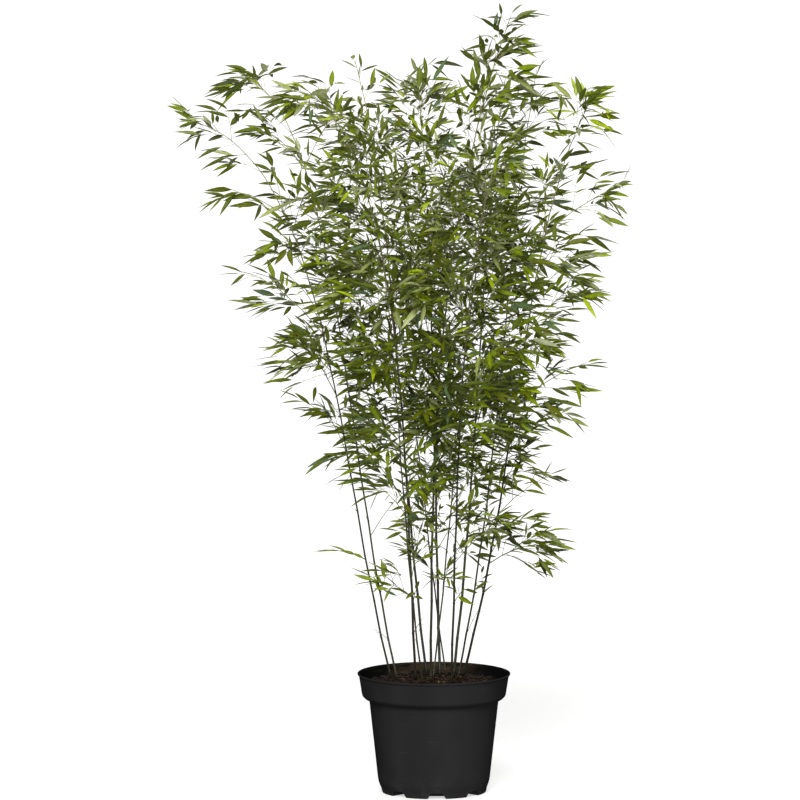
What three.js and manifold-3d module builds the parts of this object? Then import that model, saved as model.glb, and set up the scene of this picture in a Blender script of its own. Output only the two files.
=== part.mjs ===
// A clump of slender bamboo growing in a round black nursery pot, at its real size.
// Millimetres, +Z up. The origin is the middle of the pot's underside, on the level that it stands on.
// +X is to the right as the plant is seen from the front, and -Y is towards the viewer.
// Thirteen stems rise from the soil and fan out. Each runs up through the foliage, which grows on it
// as separate sprays: one that carries the stem on to its tip, and leafy side branches below that.

import * as THREE from "three";
import { mergeVertices } from "three/addons/utils/BufferGeometryUtils.js";
import Module from "manifold-3d";

const wasm = await Module();
wasm.setup();

// Clear distance between a piece and the piece that it grows from or lies against.
const GAP = 0.3;

// Pot: a tapered container with a wide band under its rim.
const POT_HEIGHT = 235;
const RIM_RADIUS = 150;
const LIP_HEIGHT = 4;
const WALL = 2.6;
const BAND_TOP_RADIUS = 147.4;
const BAND_FOOT_RADIUS = 141;
const BAND_FOOT_HEIGHT = 192;
const NECK_RADIUS = 127.2;
const NECK_HEIGHT = 183.5;
const HEEL_RADIUS = 109.5;
const HEEL_HEIGHT = 23;
const FOOT_RADIUS = 103;
const FOOT_TAPER = 1.4;
const FOOT_HEIGHT = 9;
const POT_SEGMENTS = 40;

// Drain channels: raised gutters under the floor that open as notches in the foot of the wall.
const CHANNELS = 8;
const CHANNEL_HEIGHT = 11;
const CHANNEL_TOP_WIDTH = 23;
const CHANNEL_FOOT_WIDTH = 40;
const CHANNEL_START = 64;
const CHANNEL_TURN = 3; // degrees by which the front channel stands to the right of the front

// Soil: fills the pot to just under the rim and slopes down a little at the wall.
const SOIL_LEVEL = 218;
const SOIL_FLAT_RADIUS = 112;
const SOIL_EDGE_DROP = 5;
const SOIL_GAP = 0.5;

// Stems. Each stands at its foot, leans out over its lower half and arches over towards its tip.
// droop is how far the tip nods: 0 rises evenly and 0.33 ends level.
const STEMS = [
  { foot: [-84, 34], lean: [-112, 0], arch: [-268, -60], height: 1322, radius: 2.1, droop: 0.26 },
  { foot: [-72, 14], lean: [-112, 20], arch: [-196, 90], height: 1400, radius: 2.1, droop: 0.3 },
  { foot: [-36, 20], lean: [-22, -80], arch: [-196, -150], height: 1408, radius: 2.6, droop: 0.22 },
  { foot: [-14, 72], lean: [-55, 40], arch: [-85, 60], height: 1425, radius: 2.6, droop: 0.06 },
  { foot: [-22, -40], lean: [-50, -70], arch: [-50, -110], height: 1160, radius: 1.8, droop: 0.2 },
  { foot: [-6, -14], lean: [2, -30], arch: [152, -70], height: 1540, radius: 2.7, droop: 0 },
  { foot: [12, 64], lean: [-12, 80], arch: [-34, 140], height: 1392, radius: 2.8, droop: 0.1 },
  { foot: [-2, 36], lean: [56, 95], arch: [110, 120], height: 1265, radius: 1.7, droop: 0.2 },
  { foot: [24, 84], lean: [-60, 90], arch: [-170, 105], height: 1180, radius: 1.6, droop: 0.22 },
  { foot: [34, -42], lean: [12, -90], arch: [95, -150], height: 1330, radius: 2.4, droop: 0.14 },
  { foot: [38, 46], lean: [50, -10], arch: [50, -30], height: 1405, radius: 2.8, droop: 0.05 },
  { foot: [46, 14], lean: [90, 10], arch: [66, 66], height: 1415, radius: 2.0, droop: 0.05 },
  { foot: [58, 74], lean: [110, -60], arch: [132, -80], height: 1362, radius: 2.5, droop: 0.1 },
];
const STEM_SIDES = 6;
const STEM_STEPS = 7;
const STEM_TIP_RADIUS = 1.1;
const STEM_FOOT_FLARE = 1.3;
const STEM_END = 0.78; // share of a stem's run at which its tip spray takes over

// Crown outline from the front: height, reach to the left and reach to the right of the pot's axis.
const CROWN = [
  [400, 150, 205],
  [480, 290, 285],
  [600, 225, 250],
  [700, 250, 285],
  [800, 320, 345],
  [900, 365, 325],
  [1000, 405, 335],
  [1100, 460, 355],
  [1200, 440, 390],
  [1300, 510, 350],
  [1370, 533, 365],
  [1430, 400, 330],
  [1465, 200, 220],
  [1580, 60, 220],
];
const CROWN_DEPTH = 0.86; // reach to the front and back, as a share of the mean reach to the sides

// Branches that carry the side sprays.
const BRANCH_ANGLE = 36; // degrees between a stem and a branch that leaves it
const BRANCH_SAG = 0.22;
const BRANCH_LENGTH = [110, 230];
const OUTER_SHARE = 0.6; // share of the way to the crown's outline that a branch itself covers
const BRANCH_RADIUS = 1.6;
const BRANCH_STEPS = 3;

// Side sprays. Each next one goes where the crown is emptiest, out of all the ways that a branch can
// leave a stem: from its lowest to its highest start, in steps, in any of the directions seen from above.
const SIDE_SPRAYS = 26;
const SIDE_STARTS = [540, 1180];
const START_STEP = 40;
const DIRECTIONS = 10;
const END_ROOM = 0.35; // share of its length by which the crown reaches past a branch, at least
const STEM_ROOM = 9; // least distance between a branch and the stems that it passes
const MEASURED_AT = [0.3, 0.65, 1]; // places along a branch from which its distance to others is taken

// Sprays that stand out of the crown, by stem, height on it, direction seen from above, and length.
const OUTLYING_SPRAYS = [
  { name: "low_left", stem: 0, height: 450, azimuth: 186, length: 75, angle: 58 },
  { name: "low_middle", stem: 2, height: 385, azimuth: 200, length: 60, angle: 44 },
  { name: "low_right", stem: 12, height: 440, azimuth: -8, length: 105, angle: 48 },
  { name: "left_plume", stem: 1, height: 1080, azimuth: 183, length: 250, angle: 44 },
  { name: "right_plume", stem: 12, height: 1100, azimuth: 2, length: 215, angle: 40 },
  { name: "right_shelf", stem: 12, height: 760, azimuth: 8, length: 190, angle: 44 },
];

// Twigs: each leaves its branch at an angle and carries a leaf on at its end and one on either side.
const TWIG_RADIUS = 0.95;
const TWIG_LENGTH = [44, 72];
const TWIG_ANGLE = 42;
const TWIG_TURN = 137.5; // degrees from one twig to the next round their branch
const TWIG_SHARES = [0.96, 0.1]; // the stretch of a branch that bears twigs
const TWIG_STEP = 0.382; // share of that stretch from one twig tried to the next, wrapped to its length
const TWIG_SCALES = [1, 0.72, 0.5]; // the first at which a twig fits is used
const TWIGS_TRIED = 40;
const TWIGS_PER_SPRAY = 8;

// Leaves, larger than life so that few of them fill the crown.
const LEAF_LENGTH = [94, 124];
const LEAF_SHAPE = { width: 0.195, widest: 0.4, thickness: 0.013, arch: 0.06 };
const LEAF_SCALES = [1, 0.8, 0.64];
const LEAF_SPREAD = 38; // degrees between a twig and a leaf at its side
const LEAF_FALL = [0.07, 0.37];
const LEAF_ROLL = 1.1;
const LEAF_ROOM = 20; // least distance between the middles of two leaves
const LEAVES_PER_SPRAY = 15;
const STALK_HALF_WIDTH = 0.28;
const SIDE_LEAF_SHARES = [0.82, 0.5]; // where they leave their twig
const TIP_LEAVES = [
  { share: 0.99, angle: 4, turn: 0 },
  { share: 0.95, angle: 40, turn: 0.4 },
  { share: 0.9, angle: 40, turn: 2.8 },
];

const SPACE_MARGIN = 2; // clear distance from a leaf to the edge of its spray's own space, at least
const FINEST = 0.12; // edges shorter than this are merged where twigs and leaves join
const FIRST_SEED = 1207;
const SEED_STEP = 104729; // between the seeds of one spray and the next

const UP = new THREE.Vector3(0, 0, 1);
const radians = THREE.MathUtils.degToRad;
const mix = THREE.MathUtils.lerp;
const twoDigits = (number) => String(number).padStart(2, "0");
const evenly = (steps, low, high) => Array.from({ length: steps + 1 }, (_, k) => mix(low, high, k / steps));

// Even random numbers that come in the same order each time for one seed.
class Dice {
  constructor(seed) {
    this.state = seed;
  }

  roll(low, high) {
    this.state = (this.state * 16807) % 2147483647;
    return mix(low, high, this.state / 2147483647);
  }
}

const material = (color, roughness) => new THREE.MeshStandardMaterial({ color, roughness, metalness: 0 });
const blackPlastic = material(0x2b2b2c, 0.55);
const darkSoil = material(0x3a2a20, 1);
const darkCane = material(0x3c4424, 0.5);
const leafGreen = material(0x56662f, 0.6);

// A closed three.js geometry as a solid that can be cut and joined.
function solidOf(geometry) {
  const bare = geometry.clone();
  bare.deleteAttribute("normal");
  bare.deleteAttribute("uv");
  const merged = mergeVertices(bare, 1e-4);
  const solid = new wasm.Mesh({
    numProp: 3,
    vertProperties: merged.attributes.position.array,
    triVerts: new Uint32Array(merged.index.array),
  });
  return new wasm.Manifold(solid);
}

// A solid as a named three.js mesh.
function meshOf(name, solid, look) {
  const { vertProperties, triVerts, numProp } = solid.getMesh();
  const geometry = new THREE.BufferGeometry();
  geometry.setAttribute("position", new THREE.BufferAttribute(vertProperties, numProp));
  geometry.setIndex(new THREE.BufferAttribute(triVerts, 1));
  const mesh = new THREE.Mesh(geometry, look);
  mesh.name = name;
  return mesh;
}

// A closed skin over rings of corners, in order from root to tip. The last ring can be a single point.
function skinSolid(rings) {
  const sides = rings[0].length;
  const last = rings.length - 1;
  const corner = (ring, side) => ring * sides + (rings[ring].length === 1 ? 0 : side % sides);
  const faces = [];
  for (let ring = 0; ring < last; ring += 1) {
    for (let side = 0; side < sides; side += 1) {
      faces.push(corner(ring, side), corner(ring, side + 1), corner(ring + 1, side + 1));
      if (rings[ring + 1].length === 1) continue;
      faces.push(corner(ring, side), corner(ring + 1, side + 1), corner(ring + 1, side));
    }
  }
  for (let side = 1; side + 1 < sides; side += 1) {
    faces.push(corner(0, 0), corner(0, side + 1), corner(0, side));
    if (rings[last].length === 1) continue;
    faces.push(corner(last, 0), corner(last, side), corner(last, side + 1));
  }
  const geometry = new THREE.BufferGeometry().setFromPoints(rings.flat());
  geometry.setIndex(faces);
  return solidOf(geometry);
}

// Two directions square to a third: one to its side and one to its upper face, turned by a roll.
function frameOf(along, roll = 0) {
  const level = Math.abs(along.z) > 0.95 ? new THREE.Vector3(0, 1, 0) : UP;
  const side = new THREE.Vector3().crossVectors(level, along).normalize().applyAxisAngle(along, roll);
  const face = new THREE.Vector3().crossVectors(along, side).normalize();
  return { side, face };
}

function roundRing(centre, along, radius, sides) {
  const { side, face } = frameOf(along);
  return Array.from({ length: sides }, (_, k) => {
    const turn = (2 * Math.PI * k) / sides;
    const corner = centre.clone().addScaledVector(side, radius * Math.cos(turn));
    return corner.addScaledVector(face, radius * Math.sin(turn));
  });
}

// A three-cornered ring with a flat underside: half its width, and its height.
function bladeRing(centre, { side, face }, half, height) {
  return [
    centre.clone().addScaledVector(side, half).addScaledVector(face, -height / 3),
    centre.clone().addScaledVector(face, (2 * height) / 3),
    centre.clone().addScaledVector(side, -half).addScaledVector(face, -height / 3),
  ];
}

// A tapering limb through a row of points. Its first ring can lie level, as a cut at the soil does.
function limbSolid(points, radii, sides, levelFoot = false) {
  const rings = points.map((point, k) => {
    const before = points[Math.max(k - 1, 0)];
    const after = points[Math.min(k + 1, points.length - 1)];
    const along = new THREE.Vector3().subVectors(after, before).normalize();
    return roundRing(point, k === 0 && levelFoot ? UP : along, radii[k], sides);
  });
  return skinSolid(rings);
}

// A profile of radius and height turned round the pot's axis.
function turnedSolid(profile, segments = POT_SEGMENTS) {
  const points = profile.map(([radius, height]) => new THREE.Vector2(radius, height));
  return solidOf(new THREE.LatheGeometry(points, segments).rotateX(Math.PI / 2));
}

// One drain channel's block: its cross-section grown by a margin, and drawn out through the wall.
function channelBlock(turn, margin) {
  const halfTop = CHANNEL_TOP_WIDTH / 2 + margin;
  const halfFoot = CHANNEL_FOOT_WIDTH / 2 + margin;
  const start = CHANNEL_START - margin;
  const section = new THREE.Shape();
  section.moveTo(-halfFoot, -WALL);
  section.lineTo(halfFoot, -WALL);
  section.lineTo(halfTop, CHANNEL_HEIGHT + margin);
  section.lineTo(-halfTop, CHANNEL_HEIGHT + margin);
  section.closePath();
  const block = new THREE.ExtrudeGeometry(section, { depth: HEEL_RADIUS - start, bevelEnabled: false });
  block.translate(0, 0, start);
  block.rotateX(Math.PI / 2);
  block.rotateZ(turn);
  return solidOf(block);
}

function allChannels(margin) {
  const turns = Array.from({ length: CHANNELS }, (_, k) => radians(CHANNEL_TURN + (360 * k) / CHANNELS));
  return wasm.Manifold.union(turns.map((turn) => channelBlock(turn, margin)));
}

// The inner face of the pot's wall, from the floor up.
const POT_INSIDE = [
  [FOOT_RADIUS - FOOT_TAPER - WALL, WALL],
  [FOOT_RADIUS + FOOT_TAPER - WALL, FOOT_HEIGHT + 2],
  [HEEL_RADIUS - WALL, HEEL_HEIGHT],
  [NECK_RADIUS - WALL, NECK_HEIGHT + WALL],
  [BAND_FOOT_RADIUS - WALL, BAND_FOOT_HEIGHT + WALL],
  [BAND_TOP_RADIUS - WALL, POT_HEIGHT - LIP_HEIGHT],
];

function potSolid() {
  const overRim = POT_HEIGHT + WALL;
  const inside = turnedSolid([[0, WALL], ...POT_INSIDE, [BAND_TOP_RADIUS, overRim], [0, overRim]]);
  const outside = turnedSolid([
    [0, 0],
    [FOOT_RADIUS, 0],
    [FOOT_RADIUS + FOOT_TAPER, FOOT_HEIGHT],
    [HEEL_RADIUS, HEEL_HEIGHT],
    [NECK_RADIUS, NECK_HEIGHT],
    [BAND_FOOT_RADIUS, BAND_FOOT_HEIGHT],
    [BAND_TOP_RADIUS, POT_HEIGHT - LIP_HEIGHT],
    [RIM_RADIUS, POT_HEIGHT - LIP_HEIGHT / 2],
    [RIM_RADIUS, POT_HEIGHT],
    [0, POT_HEIGHT],
  ]);
  const gutters = allChannels(WALL).intersect(outside);
  return outside.subtract(inside).add(gutters).subtract(allChannels(0)).asOriginal().simplify();
}

function soilSolid() {
  const edgeHeight = SOIL_LEVEL - SOIL_EDGE_DROP;
  const [[lowRadius, lowHeight], [highRadius, highHeight]] = POT_INSIDE.slice(-2);
  const edgeRadius = mix(lowRadius, highRadius, (edgeHeight - lowHeight) / (highHeight - lowHeight));
  const wall = [...POT_INSIDE.slice(0, -1), [edgeRadius, edgeHeight]];
  const side = wall.map(([radius, height]) => [radius - SOIL_GAP, Math.max(height, WALL + GAP)]);
  const profile = [[0, WALL + GAP], ...side, [SOIL_FLAT_RADIUS, SOIL_LEVEL], [0, SOIL_LEVEL]];
  const filling = turnedSolid(profile, POT_SEGMENTS / 2);
  return filling.subtract(allChannels(WALL + GAP)).asOriginal().simplify();
}

// A point on a stem's run, from 0 at the soil to 1 at its tip.
function stemPoint(stem, run) {
  const lean = 1 - (1 - run) ** 3;
  const arch = run ** 3;
  const rise = (1 + stem.droop) * run - stem.droop * run ** 4;
  return new THREE.Vector3(
    stem.foot[0] + stem.lean[0] * lean + stem.arch[0] * arch,
    stem.foot[1] + stem.lean[1] * lean + stem.arch[1] * arch,
    SOIL_LEVEL + GAP + (stem.height - SOIL_LEVEL) * rise,
  );
}

function stemDirection(stem, run) {
  const step = 0.01;
  return new THREE.Vector3().subVectors(stemPoint(stem, run + step), stemPoint(stem, run - step)).normalize();
}

// The share of a stem's run at which it reaches a height.
function runAtHeight(stem, height) {
  let run = 0;
  while (run < 1 && stemPoint(stem, run).z < height) run += 0.005;
  return run;
}

const stemRadius = (stem, run) => mix(stem.radius, STEM_TIP_RADIUS, run);
const stemRuns = evenly(STEM_STEPS, 0, STEM_END);
const stemPath = (stem) => stemRuns.map((run) => stemPoint(stem, run));

// A stem from its level cut at the soil to where its tip spray takes over, grown by a margin.
function stemSolid(stem, margin) {
  const radii = stemRuns.map((run) => stemRadius(stem, run) + margin);
  radii[0] *= STEM_FOOT_FLARE;
  return limbSolid(stemPath(stem), radii, STEM_SIDES, true);
}

// How far the crown reaches at a height, to the left, to the right and to the front and back.
function crownReach(height) {
  let row = 1;
  while (row < CROWN.length - 1 && CROWN[row][0] < height) row += 1;
  const [lowHeight, lowLeft, lowRight] = CROWN[row - 1];
  const [highHeight, highLeft, highRight] = CROWN[row];
  const share = THREE.MathUtils.clamp((height - lowHeight) / (highHeight - lowHeight), 0, 1);
  const left = mix(lowLeft, highLeft, share);
  const right = mix(lowRight, highRight, share);
  return { left, right, deep: mix(left, right, 0.5) * CROWN_DEPTH };
}

function inCrown(point) {
  const { left, right, deep } = crownReach(point.z);
  const side = point.x < 0 ? left : right;
  const [[bottom]] = CROWN;
  const [[top]] = CROWN.slice(-1);
  return (point.x / side) ** 2 + (point.y / deep) ** 2 <= 1 && point.z < top && point.z > bottom;
}

// The distance from a point to the crown's outline, in a direction.
function roomAhead(point, direction) {
  const step = 10;
  const probe = point.clone();
  let room = 0;
  while (inCrown(probe)) {
    probe.addScaledVector(direction, step);
    room += step;
  }
  return room;
}

// A branch that leaves a stem at a height, turned to an azimuth: its points from the stem out.
function branchPath(stem, height, azimuth, angle, length) {
  const run = runAtHeight(stem, height);
  const start = stemPoint(stem, run);
  const out = new THREE.Vector3(Math.cos(radians(azimuth)), Math.sin(radians(azimuth)), 0);
  const direction = stemDirection(stem, run).multiplyScalar(Math.cos(radians(angle)));
  direction.addScaledVector(out, Math.sin(radians(angle))).normalize();
  const free = roomAhead(start, direction) * OUTER_SHARE;
  const reach = length ?? THREE.MathUtils.clamp(free, ...BRANCH_LENGTH);
  return evenly(BRANCH_STEPS, 0, 1).map((share) => {
    const point = start.clone().addScaledVector(direction, reach * share);
    point.z -= BRANCH_SAG * reach * share * share;
    return point;
  });
}

// The point at a share of a path's run. A share over 1 lies on past its end.
function pointOnPath(path, share) {
  const place = share * (path.length - 1);
  const k = Math.min(Math.floor(place), path.length - 2);
  return path[k].clone().lerp(path[k + 1], place - k);
}

function distanceToPath(point, path) {
  const nearest = new THREE.Vector3();
  const line = new THREE.Line3();
  let least = Infinity;
  for (let k = 0; k + 1 < path.length; k += 1) {
    line.set(path[k], path[k + 1]).closestPointToPoint(point, true, nearest);
    least = Math.min(least, nearest.distanceTo(point));
  }
  return least;
}

function distanceBetween(path, other) {
  const points = evenly(16, 0, 1).map((share) => pointOnPath(path, share));
  return Math.min(...points.map((point) => distanceToPath(point, other)));
}

// Every way that a side branch can leave a stem, apart from those that leave the crown or meet a stem.
function possibleBranches() {
  const ways = [];
  STEMS.forEach((stem, index) => {
    const [lowest, highest] = SIDE_STARTS;
    const end = Math.min(highest, stemPoint(stem, STEM_END).z - START_STEP);
    const others = STEMS.filter((other) => other !== stem).map(stemPath);
    for (let height = lowest; height < end; height += START_STEP) {
      for (let k = 0; k < DIRECTIONS; k += 1) {
        const azimuth = (360 * (k + (index % 2) / 2)) / DIRECTIONS;
        const path = branchPath(stem, height, azimuth, BRANCH_ANGLE);
        const isClear = others.every((other) => distanceBetween(path, other) > STEM_ROOM);
        if (isClear && inCrown(pointOnPath(path, 1 + END_ROOM))) ways.push({ stem, path, room: Infinity });
      }
    }
  });
  return ways;
}

function topSprays() {
  return STEMS.map((stem, index) => {
    const path = evenly(BRANCH_STEPS, STEM_END, 1).map((run) => stemPoint(stem, run));
    path[0].addScaledVector(stemDirection(stem, STEM_END), GAP);
    return { name: `spray_top_${twoDigits(index + 1)}`, stem, path, isTop: true };
  });
}

function outlyingSprays() {
  return OUTLYING_SPRAYS.map(({ name, stem, height, azimuth, length, angle }) => {
    const path = branchPath(STEMS[stem], height, azimuth, angle, length);
    return { name: `spray_${name}`, stem: STEMS[stem], path };
  });
}

// Side sprays, each placed by the widest room that those before it leave.
function sideSprays(others) {
  const ways = possibleBranches();
  const narrow = (way, { path }) => {
    const distances = MEASURED_AT.map((share) => distanceToPath(pointOnPath(way.path, share), path));
    way.room = Math.min(way.room, ...distances);
  };
  ways.forEach((way) => others.forEach((other) => narrow(way, other)));
  return Array.from({ length: SIDE_SPRAYS }, (_, k) => {
    const { stem, path } = ways.reduce((best, way) => (way.room > best.room ? way : best));
    const spray = { name: `spray_side_${twoDigits(k + 1)}`, stem, path };
    ways.forEach((way) => narrow(way, spray));
    return spray;
  });
}

// A point is in a spray's own space where no other spray's branch is as near as its own.
function inOwnSpace(point, spray, sprays) {
  const own = distanceToPath(point, spray.path) + SPACE_MARGIN;
  return sprays.every((other) => other === spray || distanceToPath(point, other.path) > own);
}

function directionBeside(along, angle, turn) {
  const { side } = frameOf(along, turn);
  return along.clone().multiplyScalar(Math.cos(angle)).addScaledVector(side, Math.sin(angle)).normalize();
}

// One leaf's rings beyond its root: its widest part, which arches, and its tip, which nods.
function leafRings(root, direction, roll, length) {
  const frame = frameOf(direction, roll);
  const middle = root.clone().addScaledVector(direction, length * LEAF_SHAPE.widest);
  const tip = root.clone().addScaledVector(direction, length);
  middle.addScaledVector(frame.face, length * LEAF_SHAPE.arch);
  tip.addScaledVector(frame.face, -length * LEAF_SHAPE.arch);
  const half = (length * LEAF_SHAPE.width) / 2;
  return [bladeRing(middle, frame, half, length * LEAF_SHAPE.thickness), [tip]];
}

// The corners of a row of rings, and the points midway between each ring and the next.
function samplePoints(rings) {
  const midway = rings.slice(1).flatMap((ring, k) =>
    rings[k].map((corner, side) => corner.clone().lerp(ring[Math.min(side, ring.length - 1)], 0.5)),
  );
  return [...rings.flat(), ...midway];
}

// The growth of one spray: a branch, twigs along it, and leaves on both. A twig or leaf that would
// leave the spray's own space, or touch a stem or another leaf, is skipped.
class Growth {
  constructor(spray, sprays, stems, leafMiddles, seed) {
    Object.assign(this, { spray, sprays, stems, leafMiddles });
    this.dice = new Dice(seed);
    const radius = spray.isTop ? stemRadius(spray.stem, STEM_END) : BRANCH_RADIUS;
    this.branch = limbSolid(spray.path, evenly(BRANCH_STEPS, radius, TWIG_RADIUS), 3);
    this.pieces = [this.branch];
    this.leaves = 0;
  }

  keepIfClear(rings, parent) {
    if (this.leaves >= LEAVES_PER_SPRAY) return null;
    const isInside = (point) => inCrown(point) && inOwnSpace(point, this.spray, this.sprays);
    if (!samplePoints(rings).every(isInside)) return null;
    const middle = rings.at(-2)[1];
    if (this.leafMiddles.some((other) => other.distanceTo(middle) < LEAF_ROOM)) return null;
    const solid = skinSolid(rings);
    const isClearOf = (other) => other === parent || solid.intersect(other).isEmpty();
    if (!isClearOf(this.stems) || !this.pieces.every(isClearOf)) return null;
    this.pieces.push(solid);
    this.leafMiddles.push(middle);
    this.leaves += 1;
    return solid;
  }

  rollLeaf(direction) {
    const roll = this.dice.roll(-LEAF_ROLL, LEAF_ROLL);
    const length = this.dice.roll(...LEAF_LENGTH);
    const hanging = direction.clone().addScaledVector(UP, -this.dice.roll(...LEAF_FALL)).normalize();
    return { roll, length, hanging };
  }

  addLeaf(root, direction, parent) {
    const { roll, length, hanging } = this.rollLeaf(direction);
    const stalk = bladeRing(root, frameOf(direction, roll), STALK_HALF_WIDTH, STALK_HALF_WIDTH);
    LEAF_SCALES.some((scale) => {
      const rings = [stalk, ...leafRings(root, hanging, roll, length * scale)];
      return this.keepIfClear(rings, parent);
    });
  }

  addTwig(root, direction) {
    const { roll, length, hanging } = this.rollLeaf(direction);
    const longest = this.dice.roll(...TWIG_LENGTH);
    const turn = this.dice.roll(0, Math.PI);
    const frame = frameOf(direction, roll);
    const foot = bladeRing(root, frame, TWIG_RADIUS / 2, TWIG_RADIUS / 2);
    for (const scale of TWIG_SCALES) {
      const end = root.clone().addScaledVector(direction, longest * scale);
      const head = bladeRing(end, frame, TWIG_RADIUS, TWIG_RADIUS);
      const leaf = leafRings(end, hanging, roll, length * Math.max(scale, LEAF_SCALES[1]));
      const twig = this.keepIfClear([foot, head, ...leaf], this.branch);
      if (!twig) continue;
      SIDE_LEAF_SHARES.forEach((share, order) => {
        const beside = directionBeside(direction, radians(LEAF_SPREAD), turn + Math.PI * order);
        this.addLeaf(pointOnPath([root, end], share), beside, twig);
      });
      return true;
    }
    return false;
  }

  addTipLeaves() {
    TIP_LEAVES.forEach(({ share, angle, turn }) => {
      const root = pointOnPath(this.spray.path, share);
      const along = pointOnPath(this.spray.path, 1.05).sub(root).normalize();
      this.addLeaf(root, directionBeside(along, radians(angle), turn), this.branch);
    });
  }

  addTwigs() {
    let twigs = 0;
    for (let k = 0; k < TWIGS_TRIED && twigs < TWIGS_PER_SPRAY; k += 1) {
      const share = mix(...TWIG_SHARES, (k * TWIG_STEP) % 1);
      const root = pointOnPath(this.spray.path, share);
      const along = pointOnPath(this.spray.path, share + 0.04).sub(root).normalize();
      const turn = radians(TWIG_TURN * k) + this.dice.roll(-0.4, 0.4);
      if (this.addTwig(root, directionBeside(along, radians(TWIG_ANGLE), turn))) twigs += 1;
    }
  }

  // One closed solid. A side branch starts inside its stem, and is cut back to the clear gap.
  solid() {
    this.addTipLeaves();
    this.addTwigs();
    const joined = wasm.Manifold.union(this.pieces);
    const margin = GAP / Math.cos(Math.PI / STEM_SIDES);
    const cut = this.spray.isTop ? joined : joined.subtract(stemSolid(this.spray.stem, margin));
    const bodies = cut.asOriginal().simplify(FINEST).decompose();
    return bodies.sort((a, b) => b.volume() - a.volume())[0];
  }
}

function addSprays(plant) {
  const sprays = [...topSprays(), ...outlyingSprays()];
  sprays.push(...sideSprays(sprays));
  const stems = wasm.Manifold.union(STEMS.map((stem) => stemSolid(stem, GAP * 1.5)));
  const leafMiddles = [];
  sprays.forEach((spray, index) => {
    const growth = new Growth(spray, sprays, stems, leafMiddles, FIRST_SEED + SEED_STEP * index);
    plant.add(meshOf(spray.name, growth.solid(), leafGreen));
  });
}

const plant = new THREE.Group();
plant.add(meshOf("pot", potSolid(), blackPlastic));
plant.add(meshOf("soil", soilSolid(), darkSoil));
STEMS.forEach((stem, index) => {
  plant.add(meshOf(`stem_${twoDigits(index + 1)}`, stemSolid(stem, 0), darkCane));
});
addSprays(plant);

export default plant;
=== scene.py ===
# The looks of a clump of slender bamboo in a round black nursery pot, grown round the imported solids.
# Sizes are in millimetres and angles in degrees, unless a comment says otherwise. Meshes are in metres.
import math

import bmesh
import bpy
import numpy as np
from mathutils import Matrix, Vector, noise


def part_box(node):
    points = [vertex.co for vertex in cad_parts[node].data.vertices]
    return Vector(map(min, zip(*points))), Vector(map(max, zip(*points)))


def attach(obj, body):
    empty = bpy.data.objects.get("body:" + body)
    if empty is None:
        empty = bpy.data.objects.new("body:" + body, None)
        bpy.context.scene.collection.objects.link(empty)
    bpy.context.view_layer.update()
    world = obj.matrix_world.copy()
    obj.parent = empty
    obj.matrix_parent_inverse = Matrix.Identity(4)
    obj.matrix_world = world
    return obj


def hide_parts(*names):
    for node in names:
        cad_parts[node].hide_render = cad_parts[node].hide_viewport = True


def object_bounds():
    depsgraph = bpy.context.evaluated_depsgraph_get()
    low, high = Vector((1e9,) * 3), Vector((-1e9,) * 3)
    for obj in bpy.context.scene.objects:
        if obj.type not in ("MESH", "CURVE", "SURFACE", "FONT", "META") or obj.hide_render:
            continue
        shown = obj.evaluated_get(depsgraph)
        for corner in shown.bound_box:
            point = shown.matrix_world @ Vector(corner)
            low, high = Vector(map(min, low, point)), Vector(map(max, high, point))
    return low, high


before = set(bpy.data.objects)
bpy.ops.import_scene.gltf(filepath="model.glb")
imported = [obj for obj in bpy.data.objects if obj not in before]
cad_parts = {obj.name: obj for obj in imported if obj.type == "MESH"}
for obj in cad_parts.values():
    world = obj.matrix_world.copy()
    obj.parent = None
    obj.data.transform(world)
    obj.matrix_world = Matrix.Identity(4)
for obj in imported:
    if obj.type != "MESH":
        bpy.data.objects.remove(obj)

CAD_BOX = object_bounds()
MM = 0.001
FULL_TURN = 2 * math.pi
UP = np.array([0.0, 0.0, 1.0])
WHITE = (1.0, 1.0, 1.0, 1.0)

# Camera, from the photograph: where the pot's axis and underside lie in a frame of 800 pixels a side.
FRAME_PIXELS = 800
MM_PER_PIXEL = 1.957
AXIS_PIXEL = 434
BASE_PIXEL = 791
CAMERA_ELEVATION = 7
CAMERA_DISTANCE = 20000
CAMERA_END = 200000
SENSOR_WIDTH = 36

# Stage. Each sun has a strength, a spread and the place that it shines from.
WORLD_STRENGTH = 0.38
SUNS = {
    "key": (3.35, 26, (-0.12, -0.95, 0.76)),
    "fill": (1.4, 24, (0.12, -1, 0.14)),
    "back": (1.5, 40, (0.25, 1, 1.1)),
}
FLOOR_REACH = 90000
TABLE_GLOW = 0.55

# Pot. Each row of its wall has a radius, a height and the radius that rounds the corner there.
POT_HEIGHT = 235
WALL = 2.6
HEEL_RADIUS = 109.5
POT_OUTSIDE = [
    (103, 0, 2.2),
    (104.4, 9, 2.5),
    (HEEL_RADIUS, 23, 8),
    (127.2, 183.5, 2),
    (134.5, 184.5, 3),
    (141, 191, 3),
    (147.4, 230.5, 0.9),
    (149.8, 231.6, 0.8),
    (150.2, POT_HEIGHT, 1.1),
]
POT_INSIDE = [
    (147.4, POT_HEIGHT, 1.1),
    (144.8, 231, 2),
    (138.4, 194.6, 4),
    (124.6, 186.1, 3),
    (106.9, 23, 6),
    (101.8, 11, 3),
    (99, WALL, 3),
]
# Each wall's profile goes on past its rim corner to a radius on the level top, so that the corner is rounded.
PAST_OUTSIDE = 146
PAST_INSIDE = 149
CORNER_STEPS = 5
CORNER_SHARE = 0.45
POT_SEGMENTS = 192
POT_CREASE = 32
INNER_FROM = 190

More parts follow.
